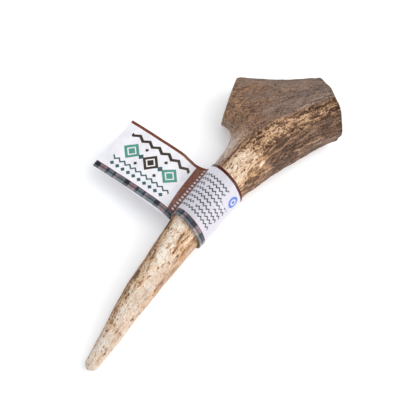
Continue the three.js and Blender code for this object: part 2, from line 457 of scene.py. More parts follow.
class Region(Enum):
    """The regions of the grown surface."""

    TINE = Skin(0.915, 0.19, -0.12, 0.35, 0.14, -0.18, fleck=0.08, grit=1.05)
    TINE_SIDE = Skin(0.81, 0.30, 0.02, 0.35, 0.22, -0.20, fleck=0.30, grit=1.25)
    # Painted shade: the tine's lit right side is darker and greyer than its top.
    TINE_LIT = Skin(0.82, 0.13, -0.10, 0.60, 0.12, 0.60, fleck=0.05, grit=1.0)
    # Painted shade along the tine's right edge.
    TINE_FLANK = Skin(0.71, 0.12, 0.0, 0.90, 0.14, 0.40, grit=0.9)
    TINE_GROOVED = Skin(0.87, 0.25, 0.00, 0.80, 0.26, 0.0, fleck=0.06, grit=1.0)
    TINE_LOW = Skin(0.89, 0.12, -0.15, 0.5, 0.10, 0.48, fleck=0.07, grit=1.0)
    TINE_EDGE = Skin(0.62, 0.18, 0.0, 0.60, 0.14, 0.15, fleck=0.15, grit=1.0)
    PALM = Skin(0.49, 0.05, 0.0, 0.4, 0.08, 0.70, crack=0.08, grit=0.80)
    RUST = Skin(0.49, 0.10, -0.05, 0.3, 0.16, 0.22, crack=0.16, hair=0.05, grit=1.0)
    STONE = Skin(0.48, 0.09, 0.0, 0.5, 0.10, 0.80, crack=0.10, hair=0.14, grit=1.3)
    # Partly painted shade: the beam's edges are darker, with their own cracks and pale hairs.
    RIM = Skin(0.41, 0.05, 0.0, 1.0, 0.04, 0.60, crack=0.18, hair=0.12, grit=0.80)
    FORK = Skin(0.76, 0.15, 0.0, 0.8, 0.08, 0.80, crack=0.14, hair=0.06, grit=0.90)
    SHADE = Skin(0.35, 0.08, 0.05, 1.0, 0.16, 0.30, crack=0.12, hair=0.13, grit=0.95)
    GOLD = Skin(0.56, 0.20, 0.12, 0.9, 0.24, 0.0, crack=0.05, grit=1.1)
    BAND_WORN = Skin(0.88, 0.24, -0.03, 0.30, 0.27, -0.15, crack=0.10, fleck=0.12, grit=1.35)
    BAND_MIDDLE = Skin(0.73, 0.34, 0.18, 0.25, 0.34, -0.10, crack=0.05, grit=1.15)
    BAND_END = Skin(0.70, 0.35, 0.24, 0.50, 0.36, 0.0, crack=0.03, grit=1.0)


@dataclass
class Antler:
    """The grown piece: a tine with a short sawn length of the beam that it grew from."""

    voxel: float = 0.57
    tine_line: tuple[tuple[float, float, float], ...] = (
        (-123.4, -10.0, 4.2), (-112.0, -9.3, 5.7), (-100.0, -8.5, 7.4), (-85.0, -7.1, 9.0),
        (-70.0, -6.2, 10.4), (-50.0, -6.1, 12.3), (-30.0, -5.6, 14.1), (-10.0, -5.9, 15.7),
        (10.0, -7.0, 16.6), (24.0, -7.8, 16.9), (38.0, -8.8, 16.6), (54.0, -10.6, 16.0),
        (72.0, -14.4, 15.2), (90.0, -20.2, 14.0), (108.0, -29.8, 13.2), (119.0, -38.8, 13.0),
    )
    beam_line: tuple[tuple[float, float, float], ...] = (
        (60.5, 49.0, 11.4), (65.5, 40.5, 11.6), (72.5, 28.6, 11.8), (78.0, 12.0, 12.8),
        (86.0, -5.0, 13.8), (97.0, -19.0, 13.8), (106.0, -29.0, 13.8), (119.0, -38.8, 13.0),
    )
    beam_reach: float = 25.0
    edge_depth: float = 11.0
    edge_bow: float = 2.7
    edge_lift: float = 0.78
    edge_step: float = 1.5
    edge_margin: float = 3.0
    edge_outward: tuple[float, float, float] = (0.83, 0.56, 0.0)
    pushes: tuple[Push, ...] = (
        Push((113.0, -41.0, 25.7), 13.0, (0.54, -0.40, 2.50)),
        Push((103.0, -53.5, 23.5), 9.0, (0.37, -0.28, 1.74)),
        Push((93.0, -56.0, 7.5), 12.0, (0.71, 0.52, 0.47)),
        Push((76.0, -49.5, 9.5), 15.0, (0.71, 0.52, 0.47)),
        Push((45.0, -38.0, 12.0), 9.0, (-0.50, -0.36, -0.33)),
        Push((34.0, -35.0, 12.5), 6.0, (-0.86, -0.62, -0.56)),
        Push((94.5, -57.5, 9.5), 4.0, (-0.47, -0.64, 0.0)),
        Push((94.0, 21.5, 16.8), 7.0, (0.75, 0.45, 0.40)),
    )
    cuts: tuple[SawCut, ...] = (
        SawCut((73.4, 29.0, 13.0), 108.5, 5.0),
        SawCut((106.6, -28.2, 13.0), -36.4, -15.0),
    )
    stains: tuple[Stain, ...] = (
        Stain(-178.2, 4.2, 2.2, 1.1, 0.50), Stain(-192.0, 5.4, 3.2, 1.6, 0.80),
        Stain(-194.0, -0.1, 2.6, 0.9, 0.55), Stain(-190.5, 1.5, 2.4, 1.0, 0.35),
        Stain(-185.3, 1.5, 1.6, 0.6, 0.40), Stain(-181.0, -2.4, 1.5, 1.2, 0.28),
        Stain(-166.2, 0.2, 1.2, 0.8, 0.30), Stain(-202.0, 5.0, 4.0, 0.9, 0.50),
        Stain(-199.6, 1.6, 1.8, 0.8, 0.40), Stain(-207.0, 3.2, 2.4, 0.8, 0.30),
        Stain(-215.5, 3.4, 2.0, 0.7, 0.35), Stain(-218.8, 2.6, 1.8, 1.0, 0.40),
        Stain(-223.2, 2.6, 2.2, 1.0, 0.72), Stain(-225.0, -0.1, 1.8, 0.7, 0.40),
        Stain(-229.5, 1.8, 2.2, 0.6, 0.40), Stain(-232.6, 1.8, 1.2, 0.8, 0.25),
        Stain(-226.0, -4.6, 1.0, 1.8, 0.20), Stain(-238.1, -1.3, 0.8, 0.9, 0.30),
        Stain(-244.0, 0.5, 0.8, 0.6, 0.28), Stain(-247.4, 0.1, 1.5, 0.5, 0.45),
        Stain(-250.9, 0.9, 0.9, 0.6, 0.30), Stain(-205.7, -5.4, 0.7, 0.5, 0.30),
        Stain(-192.4, -8.4, 3.2, 0.6, 0.16), Stain(-214.9, -7.0, 1.5, 0.6, 0.30),
        Stain(-81.3, -1.2, 0.6, 2.6, 0.30), Stain(-97.0, -3.6, 1.6, 0.6, 0.30),
        Stain(-103.0, 1.5, 1.2, 0.6, 0.18),
    )
    strokes: tuple[Stroke, ...] = (
        # Partly worn pale, partly painted light: a broad paler band along the tine's top by the label, where
        # the label's shade falls.
        Stroke(((-178.0, 0.4), (-164.0, 0.6), (-150.0, 1.2)), 3.8, 0.10),
        Stroke(((-170.2, -4.8), (-164.0, -4.9), (-158.2, -5.4), (-152.7, -6.9)), 0.62, -0.34, -0.35),
        Stroke(((-163.5, -3.0), (-158.4, -3.3), (-152.0, -2.7)), 1.0, -0.20, -0.15),
        Stroke(((-164.5, -7.8), (-161.0, -7.4)), 1.0, -0.20, -0.15, 1.0),
        Stroke(((-170.0, -9.3), (-161.0, -9.5), (-151.0, -9.4)), 1.2, -0.16, -0.10),
        Stroke(((-188.5, -8.6), (-184.0, -9.2)), 0.5, -0.12, -0.20, 1.0),
        # Painted shadow: a darker line along the tine's left side, where the flag's shadow falls below the
        # label.
        Stroke(((-187.0, 6.8), (-176.7, 7.5), (-166.3, 8.5), (-149.0, 9.7)), 1.5, -0.13),
        # Painted shade: a darker place on the tine's left side in the label's shade, with a slight sink in
        # its relief.
        Stroke(((-158.0, 8.6), (-148.0, 9.4)), 1.5, -0.20, -0.10, 2.0),
        Stroke(((-244.0, 3.6), (-237.6, 2.8)), 0.45, -0.16, -0.10, 1.5),
        Stroke(((-248.3, -3.7), (-240.9, -3.1)), 0.8, -0.12, -0.10, 2.0),
        Stroke(((-105.0, 6.4), (-94.4, 6.6), (-84.2, 7.6), (-77.0, 7.4)), 0.5, -0.12, -0.12),
        Stroke(((-86.5, 2.3), (-77.3, 1.8), (-70.0, 0.8)), 0.45, -0.22, -0.30, 1.5),
        Stroke(((-95.6, -11.9), (-87.0, -13.5), (-79.5, -15.6)), 0.5, 0.14, 0.30),
        Stroke(((-92.0, -14.0), (-84.2, -15.5), (-78.0, -17.2)), 0.5, 0.22, 0.25),
        Stroke(((-94.0, -13.0), (-84.0, -14.7)), 0.4, -0.20, -0.25),
        Stroke(((-87.6, -11.0), (-82.4, -11.5)), 0.9, 0.34, 0.30, 1.0),
        Stroke(((-60.5, -18.9), (-55.0, -19.7)), 0.5, 0.26, 0.25, 1.0),
        Stroke(((-51.5, -19.6), (-42.3, -20.9), (-31.0, -21.6)), 0.55, 0.20, 0.25),
        Stroke(((-45.0, -22.0), (-38.0, -22.5), (-32.0, -22.9)), 0.5, 0.14, 0.20),
        Stroke(((-47.0, -4.9), (-42.7, -5.0), (-38.6, -4.2), (-33.8, -4.9)), 0.6, 0.22, 0.40, 1.5),
        Stroke(((-46.0, -7.5), (-40.8, -7.9), (-33.5, -8.2)), 0.5, 0.14, 0.30),
        Stroke(((-42.0, -10.1), (-35.7, -10.5), (-24.0, -10.1)), 0.45, 0.14, 0.30),
        Stroke(((-29.0, -8.0), (-23.7, -7.6), (-18.0, -7.4), (-13.5, -6.8)), 0.45, 0.14, 0.30),
        Stroke(((-32.0, -3.0), (-27.3, -1.8), (-22.4, -1.4), (-15.0, -1.9)), 0.5, 0.14, 0.30),
        Stroke(((-66.0, -8.6), (-60.7, -8.5), (-55.0, -9.4)), 0.5, 0.14, 0.30),
    )

    def close_mesh(self) -> bpy.types.Object:
        """Copies the node, merges it and gives it a close and even mesh.

        Returns:
            The new object, still smooth.
        """
        deselect_all()
        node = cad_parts["antler"]
        piece = bpy.data.objects.new("grown_antler", node.data.copy())
        bpy.context.scene.collection.objects.link(piece)
        piece.data.materials.clear()
        pick(piece)
        bpy.ops.object.mode_set(mode="EDIT")
        bpy.ops.mesh.select_all(action="SELECT")
        bpy.ops.mesh.remove_doubles(threshold=0.01 * MM)
        bpy.ops.object.mode_set(mode="OBJECT")
        apply_modifier(piece, "REMESH", mode="VOXEL", voxel_size=self.voxel * MM, adaptivity=0.0)
        self.round_off(piece)
        self.fill_out(piece)
        self.even_far_edge(piece)
        return piece

    def round_off(self, piece: bpy.types.Object) -> None:
        """Takes the node's facets off the grown surface and leaves its sawn edges crisp.

        Args:
            piece: The antler's object.
        """
        points = read_points(piece)
        behind = np.min([cut.depth(points) for cut in self.cuts], axis=0)
        group = piece.vertex_groups.new(name="grown")
        shares = np.round(smooth_step(0.4, 4.0, behind) * 20) / 20
        for share in np.unique(shares[shares > 0]):
            group.add(np.flatnonzero(shares == share).tolist(), float(share), "REPLACE")
        apply_modifier(piece, "SMOOTH", factor=0.5, iterations=18, vertex_group="grown")
        piece.vertex_groups.clear()

    def fill_out(self, piece: bpy.types.Object) -> None:
        """Gives the beam the fullness that the node's few sections leave out.

        Args:
            piece: The antler's object.
        """
        points = read_points(piece)
        points += sum(push.shift(points) for push in self.pushes)
        write_points(piece, self.trim(points))

    def trim(self, points: Rows) -> Rows:
        """Sets what stands past a sawn face back on it.

        Args:
            points: The antler's points.

        Returns:
            The points, with none past a face.
        """
        for cut in self.cuts:
            points = points - np.maximum(-cut.depth(points), 0.0)[:, None] * cut.outward()
        return points

    def even_far_edge(self, piece: bpy.types.Object) -> None:
        """Takes the small waves out of the beam's far edge and leaves it in one shallow hollow curve.

        Args:
            piece: The antler's object.
        """
        points = read_points(piece)
        _, across, _ = Limb(self.beam_line).place(points).T
        beside, height = points @ Studio.right(), points @ Studio.up()
        near = across > self.beam_reach - self.edge_depth
        first, last = beside[near].min() + self.edge_margin, beside[near].max() - self.edge_margin
        stations = np.arange(first, last, self.edge_step)
        reach = np.array([height[near & (np.abs(beside - station) < 1.0)].max() for station in stations])
        middle, half = (stations[0] + stations[-1]) / 2, (stations[-1] - stations[0]) / 2
        target = np.polyval(np.polyfit(stations, reach, 1), stations) + self.edge_lift
        target += self.edge_bow * (((stations - middle) / half) ** 2 - 1 / 3)
        change = np.interp(beside, stations, target - reach)
        outward = np.array(self.edge_outward)
        share = smooth_step(self.beam_reach - self.edge_depth, self.beam_reach, across)
        share *= smooth_step(-1.0, 3.0, np.min([cut.depth(points) for cut in self.cuts], axis=0))
        points += (change * share / (outward @ Studio.up()))[:, None] * outward
        write_points(piece, self.trim(points))

    def build(self) -> bpy.types.Object:
        """Makes the whole antler, with its relief and what its material reads.

        Returns:
            The finished object.
        """
        piece = self.close_mesh()
        points, normals = read_points(piece), read_normals(piece)
        surface = GrownSurface(self, points)
        raised = points + normals * surface.height[:, None]
        raised = self.saw(raised, points, surface)
        raised[:, 2] = np.maximum(raised[:, 2], 0.0)
        write_points(piece, raised)
        for name, values in surface.readings().items():
            store(piece, name, values)
        pick(piece)
        bpy.ops.object.shade_smooth()
        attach(piece, "root")
        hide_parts("antler")
        return piece

    def saw(self, raised: Rows, points: Rows, surface: "GrownSurface") -> Rows:
        """Sets the sawn faces back on their planes, with the saw's lines and the core's pores in them.

        Args:
            raised: The points with their relief.
            points: The points before it.
            surface: What the surface does at each point.

        Returns:
            The points, with the sawn faces set.
        """
        for cut in self.cuts:
            outward = cut.outward()
            on_face = cut.depth(points) < surface.saw_reach
            over = -cut.depth(raised)
            inward = np.where(on_face, over + surface.pit, np.maximum(over, 0.0))
            raised = raised - inward[:, None] * outward
        return raised


@dataclass
class GrownSurface:
    """The relief and the look of the grown surface of an antler, at each of its smooth mesh's points.

    The grain runs along the tine and fans out over the beam, up to the beam's far edge. Turns round the
    tine are in degrees, from its left side up over its top. A net's cells are measured along the grain and
    both ways across it.
    """

    antler: Antler
    points: Rows
    saw_reach: float = 0.45
    fan_width: float = 42.0
    curly_cell: tuple[float, float, float] = (3.1, 1.45, 1.6)
    straight_cell: tuple[float, float, float] = (12.0, 1.8, 1.9)
    worn_side: float = 114.0
    groove_tone: float = 1.5
    groove_brown: float = 1.5
    stain_tone: float = 0.8
    stain_brown: float = 0.6
    stain_flecks: float = 0.6
    stain_sunk: float = 0.4
    under_label: tuple[float, float] = (-24.0, 27.0)

    def __post_init__(self) -> None:
        """Works everything out for the points."""
        self.tine = Limb(self.antler.tine_line).place(self.points)
        self.edge = self.antler.beam_reach - Limb(self.antler.beam_line).place(self.points)[:, 1]
        along, across, above = self.tine.T
        self.on_beam = smooth_step(-120.0, -108.0, along)
        self.around = np.degrees(np.arctan2(above, across))
        self.grain = self.fan_out()
        self.find_sawn_faces()
        self.find_worn_band()
        self.look = self.lay_regions()
        self.find_ridges()
        self.draw_marks()
        self.raise_relief()

    def fan_out(self) -> Rows:
        """Lays the grain along the tine and fans it out over the beam.

        Returns:
            Each point's place in the grain: along it, across it, and above the middle line.
        """
        along, across, above = self.tine.T
        left = np.maximum(across, 0.0)
        fanned = self.fan_width * left / (left + np.maximum(self.edge, 0.6))
        share = smooth_step(-106.0, -86.0, along) * (across > 0)
        return np.column_stack([along, blend(across, fanned, share), above])

    def find_sawn_faces(self) -> None:
        """Marks the sawn faces, and in them the porous core inside the solid rim."""
        depths = np.array([cut.depth(self.points) for cut in self.antler.cuts])
        self.behind = np.min(depths, axis=0)
        self.behind_beam_cut = depths[1]
        on_face = self.behind < self.saw_reach
        self.sawn = on_face.astype(float)
        rim = np.flatnonzero((self.behind > 0.6) & (self.behind < 1.6))
        tree = KDTree(len(rim))
        for slot, point in enumerate(self.points[rim]):
            tree.insert(point, slot)
        tree.balance()
        inside = np.zeros(len(self.points))
        for i in np.flatnonzero(on_face):
            inside[i] = tree.find(self.points[i])[2]
        ragged = Grit(11).layers(self.points / 5.0, 3) * 1.1
        self.core = smooth_step(3.4, 4.6, inside + ragged) * self.sawn
        far, number = Grit(12).dots(self.points / 1.5)
        pore = smooth_step(0.5, 0.25, far) * (0.5 + 0.5 * number)
        self.pit = self.core * (0.12 + 0.45 * pore)

    def find_worn_band(self) -> None:
        """Finds the band along the top of the beam where the ridges are worn pale."""
        along, across, above = self.tine.T
        left = np.interp(along, (-105.0, -72.0, -55.0, -45.0, -14.0), (6.3, 5.9, 2.6, 0.4, -1.5))
        places = (-105.0, -90.0, -77.0, -66.0, -55.0, -43.0, -14.0)
        right = np.interp(along, places, (-12.5, -10.6, -8.4, -8.6, -11.0, -12.0, -10.8))
        strands = Grit(21).layers(self.tine / (17.0, 1.9, 4.0), 3, 0.6)
        wander = Grit(22).layers(self.tine / (5.0, 2.4, 3.0), 3, 0.6)
        self.from_border = np.minimum(left - across, across - right) + 1.5 * strands + 0.8 * wander
        self.band = smooth_step(-1.0, 2.0, self.from_border) * smooth_step(-1.0, 4.0, above)
        self.below_band = smooth_step(-1.0, 1.0, left - across)
        self.beside_band = right - across

    def lay_regions(self) -> dict[str, Rows]:
        """Lays the regions over each other.

        Returns:
            Each of the skin's numbers, point by point.
        """
        drift = Grit(23).layers(self.tine / (17.0, 8.0, 9.0), 2)
        patch = Grit(24).layers(self.tine / (13.0, 5.0, 6.0), 2)
        laid = (
            *self.beam_regions(drift, patch), *self.tine_regions(drift, patch), *self.band_regions(patch)
        )
        look = np.tile(astuple(Region.TINE.value), (len(self.points), 1))
        for region, share in laid:
            look = blend(look, np.array(astuple(region.value)), share[:, None])
        look = dict(zip((part.name for part in fields(Skin)), look.T))
        fray = self.on_beam * self.band * smooth_step(3.5, 0.5, self.from_border)
        for name, change in (("tone", -0.11), ("level", 0.16), ("sunk", 0.08), ("run", 0.3)):
            look[name] = look[name] + change * fray
        look["run"] = np.minimum(look["run"], 1.0)
        return look

    def beam_regions(self, drift: Rows, patch: Rows) -> tuple[tuple[Region, Rows], ...]:
        """Lays the beam's broad side above the worn band, its shaded side below it, and its rims, which are
        partly painted shade.

        Args:
            drift: Broad noise, which moves the regions' borders.
            patch: Smaller noise, which does the same.

        Returns:
            The regions, and how much of each there is at each point.
        """
        along, across, _ = self.tine.T
        upper = self.on_beam * (1 - self.below_band)
        lower = self.on_beam * self.below_band
        streak = Grit(25).layers(self.tine / (15.0, 1.7, 3.0), 2)
        gilt = streak + 0.9 * smooth_step(-70.0, -94.0, along)
        rust = smooth_step(-0.5, 0.6, drift + 1.4 * smooth_step(-52.0, -68.0, along))
        stone = smooth_step(-60.0, -38.0, along + 9 * patch) * smooth_step(24.0, 12.0, across)
        fork = smooth_step(-66.0, -86.0, along) * smooth_step(5.0, 12.0, across + 2 * patch)
        gold = smooth_step(9.0, 1.0, self.beside_band) * smooth_step(0.0, 0.6, gilt)
        return (
            (Region.PALM, self.on_beam),
            (Region.RUST, upper * rust),
            (Region.STONE, upper * stone),
            (Region.RIM, upper * smooth_step(9.0, 4.5, self.edge + 2 * patch)),
            (Region.FORK, upper * fork),
            (Region.SHADE, lower),
            (Region.GOLD, lower * gold),
            (Region.RIM, 0.6 * lower * smooth_step(-20.5, -22.5, across)),
        )

    def tine_regions(self, drift: Rows, patch: Rows) -> tuple[tuple[Region, Rows], ...]:
        """Lays the tine's grooved top, its flecked left side, its lit right side and right edge, which are
        painted darker and greyer as shade, and its darker edges.

        Args:
            drift: Broad noise, which moves the regions' borders.
            patch: Smaller noise, which does the same.

        Returns:
            The regions, and how much of each there is at each point.
        """
        along, across, _ = self.tine.T
        tine = 1 - self.on_beam
        near_label = smooth_step(-176.0, -160.0, along)
        grooved = smooth_step(-1.0, -4.0, across + patch) * smooth_step(-190.0, -170.0, along)
        side = smooth_step(96.0, 52.0, self.around + 14 * drift) * smooth_step(-236.0, -214.0, along)
        lit = smooth_step(104.0, 124.0, np.abs(self.around) + 10 * drift)
        shaded_flank = smooth_step(138.0, 158.0, np.abs(self.around) + 12 * drift)
        from_worn_side = np.abs((self.around - self.worn_side + 180.0) % 360.0 - 180.0)
        edge = smooth_step(52.0, 80.0, from_worn_side + 5 * drift) * np.where(across > 0, 0.95, 0.7)
        edge *= np.interp(along, (-250.0, -225.0, -200.0), (0.15, 0.40, 0.85))
        return (
            (Region.TINE_LOW, tine * smooth_step(-190.0, -214.0, along + 8 * patch)),
            (Region.TINE_GROOVED, tine * grooved),
            (Region.TINE_SIDE, tine * side * (1 - 0.7 * near_label)),
            (Region.TINE_LIT, tine * lit * (1 - near_label)),
            (Region.TINE_FLANK, tine * shaded_flank * smooth_step(-216.0, -192.0, along)),
            (Region.TINE_EDGE, tine * edge),
        )

    def band_regions(self, patch: Rows) -> tuple[tuple[Region, Rows], ...]:
        """Lays the worn band, which is palest near the label.

        Args:
            patch: Noise that moves the regions' borders.

        Returns:
            The regions, and how much of each there is at each point.
        """
        along = self.tine[:, 0]
        band = self.on_beam * self.band
        return (
            (Region.BAND_WORN, band),
            (Region.BAND_MIDDLE, band * smooth_step(-92.0, -76.0, along + 6 * patch)),
            (Region.BAND_END, band * smooth_step(-56.0, -38.0, along + 5 * patch)),
        )

    def find_ridges(self) -> None:
        """Finds the ridges and the hollows between them, which wander along the grain."""
        bend = np.column_stack([Grit(31 + i).layers(self.grain / (9.0, 4.5, 4.5), 2) for i in range(3)])
        bent = self.grain + bend * (2.0, 0.9, 0.9)
        curly = self.crests(bent / self.curly_cell, 34)
        straight = self.crests(bent / self.straight_cell, 35)
        self.ridge = blend(curly, straight, self.look["run"]) - self.look["level"]

    @staticmethod
    def crests(where: Rows, seed: int) -> Rows:
        """Draws a net of narrow crests with pits between them.

        Args:
            where: The places, with the net's cells one unit wide.
            seed: The noise's seed.

        Returns:
            The height of the net, about -1 to 0.6, with 0 halfway up its crests.
        """
        net = 0.33 - np.abs(Grit(seed).noise(where))
        return 1.6 * net + 0.26 * Grit(seed + 100).layers(where * 2.1, 2, 0.6)

    def draw_marks(self) -> None:
        """Draws the antler's own long grooves, worn ridges and dark flecked places, and the painted shade
        and painted light that the label gives the tine.
        """
        along, across, above = self.tine.T
        across = across + 0.35 * Grit(41).layers(self.tine / (4.0, 9.0, 9.0), 2)
        on_top = smooth_step(0.0, 2.0, above)
        tone, fleck, grey = self.look["tone"], self.look["fleck"], self.look["grey"]
        ragged = 0.60 + 0.56 * Grit(42).layers(self.tine / (2.2, 1.1, 1.2), 2)
        self.mark_height = np.zeros(len(along))
        for stroke in self.antler.strokes:
            share = stroke.share(along, across) * on_top
            darker = max(-stroke.tone, 0.0)
            tone = tone + share * stroke.tone * (self.groove_tone * ragged if darker else 1.0)
            grey = grey - share * self.groove_brown * darker
            self.mark_height += share * stroke.height
        for stain in self.antler.stains:
            share = stain.share(along, across) * on_top
            tone = tone - share * stain.depth * self.stain_tone * ragged
            fleck = fleck + share * self.stain_flecks
            grey = grey - share * self.stain_brown
            self.mark_height -= share * stain.depth * self.stain_sunk
        self.swell = Grit(43).layers(self.grain / (16.0, 6.0, 7.0), 3)
        near_cut = smooth_step(3.2, 1.2, self.behind_beam_cut) * self.on_beam
        tone = tone + 0.05 * self.swell * (1 + 0.6 * self.band) - 0.06 * near_cut
        self.look["tone"] = np.clip(tone, 0.05, 1.0)
        self.look["fleck"] = np.clip(fleck, 0.0, 1.0)
        self.look["grey"] = grey

    def raise_relief(self) -> None:
        """Raises the ridges and sinks the grooves."""
        raised = smooth_step(-0.35, 0.3, self.ridge)
        pebble = Grit(44).layers(self.grain / (2.0, 1.3, 1.4), 2)
        height = self.look["relief"] * (raised - 0.4 + 0.25 * pebble) + 0.07 * self.swell + self.mark_height
        x = self.points[:, 0]
        first, last = self.under_label
        covered = smooth_step(first - 3.0, first + 3.0, x) * smooth_step(last + 3.0, last - 3.0, x)
        self.height = 0.12 + height * (1 - 0.75 * covered)
        self.height *= smooth_step(0.3, 1.6, self.behind)

    def readings(self) -> dict[str, Rows]:
        """Gathers what the antler's material reads.

        Returns:
            The values of each attribute, point by point.
        """
        kept = ("tone", "sunk", "grey", "crack", "hair", "fleck", "grit")
        readings = {name: self.look[name] for name in kept}
        readings.update(ridge=self.ridge, grain=self.grain, core=self.core, sawn=self.sawn)
        return readings


class Socket(Enum):
    """The kinds of socket that a shared effect has."""

    NUMBER = "NodeSocketFloat"
    VECTOR = "NodeSocketVector"


@dataclass
class Nodes:
    """A node tree, with short ways to add nodes and join them."""

    tree: bpy.types.NodeTree

    def add(self, kind: str, **settings: object) -> bpy.types.Node:
        """Adds a node.

        Args:
            kind: Blender's name for the node's type, without its first word.
            settings: The node's own settings.

        Returns:
            The node.
        """
        node = self.tree.nodes.new("ShaderNode" + kind)
        for name, value in settings.items():
            setattr(node, name, value)
        return node

    def feed(self, socket: Wire, value: object) -> None:
        """Joins a socket to another one, or sets it to a plain value.

        Args:
            socket: The socket that is fed.
            value: The other socket, or the value.
        """
        if isinstance(value, Wire):
            self.tree.links.new(value, socket)
        else:
            socket.default_value = value

    def math(
        self, operation: str, first: object, second: object = 0.0, clamp: bool = False
    ) -> Wire:
        """Adds a Math node.

        Args:
            operation: What it does.
            first: Its first value, or a socket.
            second: Its second value, or a socket.
            clamp: Whether the result stays between 0 and 1.

        Returns:
            The node's result.
        """
        node = self.add("Math", operation=operation, use_clamp=clamp)
        self.feed(node.inputs[0], first)
        self.feed(node.inputs[1], second)
        return node.outputs[0]

    def plus(self, first: object, second: object, clamp: bool = False) -> Wire:
        """Adds a Math node that adds."""
        return self.math("ADD", first, second, clamp)

    def minus(self, first: object, second: object, clamp: bool = False) -> Wire:
        """Adds a Math node that subtracts."""
        return self.math("SUBTRACT", first, second, clamp)

    def times(self, first: object, second: object) -> Wire:
        """Adds a Math node that multiplies."""
        return self.math("MULTIPLY", first, second)

    def divided(self, first: object, second: object) -> Wire:
        """Adds a Math node that divides."""
        return self.math("DIVIDE", first, second)

    def apart(self, first: object, second: object) -> Wire:
        """Adds the distance between two values."""
        return self.math("ABSOLUTE", self.minus(first, second))

    def mix(self, share: object, first: object, second: object) -> Wire:
        """Adds a Mix node for colours.

        Args:
            share: How much of the second colour there is, from 0 to 1.
            first: The first colour, or a socket.
            second: The second colour, or a socket.

        Returns:
            The mixed colour.
        """
        node = self.add("Mix", data_type="RGBA")
        self.feed(node.inputs["Factor"], share)
        self.feed(node.inputs[6], first)
        self.feed(node.inputs[7], second)
        return node.outputs[2]

    def blend(self, share: object, first: object, second: object) -> Wire:
        """Adds a Mix node for numbers.

        Args:
            share: How much of the second number there is, from 0 to 1.
            first: The first number, or a socket.
            second: The second number, or a socket.

        Returns:
            The mixed number.
        """
        node = self.add("Mix", data_type="FLOAT")
        self.feed(node.inputs["Factor"], share)
        self.feed(node.inputs[2], first)
        self.feed(node.inputs[3], second)
        return node.outputs[0]

    def range(
        self, value: object, low: float, high: float, to_low: float = 0.0, to_high: float = 1.0
    ) -> Wire:
        """Adds a smooth Map Range node.

        Args:
            value: The value or socket that is mapped.
            low: The value that becomes to_low.
            high: The value that becomes to_high.
            to_low: The least result.
            to_high: The greatest result.

        Returns:
            The node's result.
        """
        node = self.add("MapRange", interpolation_type="SMOOTHSTEP")
        for slot, given in enumerate((value, low, high, to_low, to_high)):
            self.feed(node.inputs[slot], given)
        return node.outputs[0]

    def ramp(self, value: object, stops: tuple[tuple[float, tuple], ...]) -> Wire:
        """Adds a colour ramp.

        Args:
            value: The value or socket that picks the colour.
            stops: The ramp's places and their colours.

        Returns:
            The ramp's colour.
        """
        node = self.add("ValToRGB")
        ramp = node.color_ramp
        for _ in stops[2:]:
            ramp.elements.new(0.5)
        for element, (place, colour) in zip(ramp.elements, stops):
            element.position = place
            element.color = colour
        self.feed(node.inputs[0], value)
        return node.outputs[0]

    def noise(self, where: object, scale: float, detail: float = 2.0, rough: float = 0.5) -> Wire:
        """Adds a Noise Texture.

        Args:
            where: The place that it is read at.
            scale: How many of its features there are to a unit.
            detail: How many finer layers it has.
            rough: How strong they are.

        Returns:
            The noise, from 0 to 1.
        """
        node = self.add("TexNoise")
        self.feed(node.inputs["Vector"], where)
        node.inputs["Scale"].default_value = scale
        node.inputs["Detail"].default_value = detail
        node.inputs["Roughness"].default_value = rough
        return node.outputs[0]

    def stretch(self, where: object, sizes: tuple[float, float, float]) -> Wire:
        """Multiplies a vector by three numbers.

        Args:
            where: The vector.
            sizes: The numbers.

        Returns:
            The product.
        """
        node = self.add("VectorMath", operation="MULTIPLY")
        self.feed(node.inputs[0], where)
        self.feed(node.inputs[1], sizes)
        return node.outputs[0]

    def attribute(self, name: str, vector: bool = False) -> Wire:
        """Adds a node that reads what was stored for the piece's points."""
        node = self.add("Attribute", attribute_type="GEOMETRY", attribute_name=name)
        return node.outputs["Vector" if vector else "Fac"]

    def bump(self, height: object, distance: float) -> Wire:
        """Adds a Bump node.

        Args:
            height: The relief's height.
            distance: How deep a height of 1 is, in millimetres.

        Returns:
            The bumped normal.
        """
        node = self.add("Bump")
        node.inputs["Distance"].default_value = distance * MM
        self.feed(node.inputs["Height"], height)
        return node.outputs[0]


def new_material(name: str) -> tuple[bpy.types.Material, Nodes, bpy.types.Node]:
    """Makes a material that has a Principled shader and its output.

    Args:
        name: The material's name.

    Returns:
        The material, its nodes and the shader.
    """
    material = bpy.data.materials.new(name)
    material.use_nodes = True
    nodes = Nodes(material.node_tree)
    material.node_tree.nodes.clear()
    shader = nodes.add("BsdfPrincipled")
    output = nodes.add("OutputMaterial")
    nodes.feed(output.inputs["Surface"], shader.outputs[0])
    return material, nodes, shader


def new_group(name: str, inputs: dict[str, Socket], outputs: dict[str, Socket]) -> tuple[Nodes, dict, dict]:
    """Makes an empty node group for an effect that materials share.

    Args:
        name: The group's name.
        inputs: The names and kinds of what goes in.
        outputs: The names and kinds of what comes out.

    Returns:
        The group's nodes, the sockets to read its inputs from, and the sockets to feed its outputs.
    """
    tree = bpy.data.node_groups.new(name, "ShaderNodeTree")
    for label, kind in inputs.items():
        tree.interface.new_socket(label, in_out="INPUT", socket_type=kind.value)
    for label, kind in outputs.items():
        tree.interface.new_socket(label, in_out="OUTPUT", socket_type=kind.value)
    entry = tree.nodes.new("NodeGroupInput")
    leave = tree.nodes.new("NodeGroupOutput")
    return Nodes(tree), dict(entry.outputs.items()), dict(leave.inputs.items())


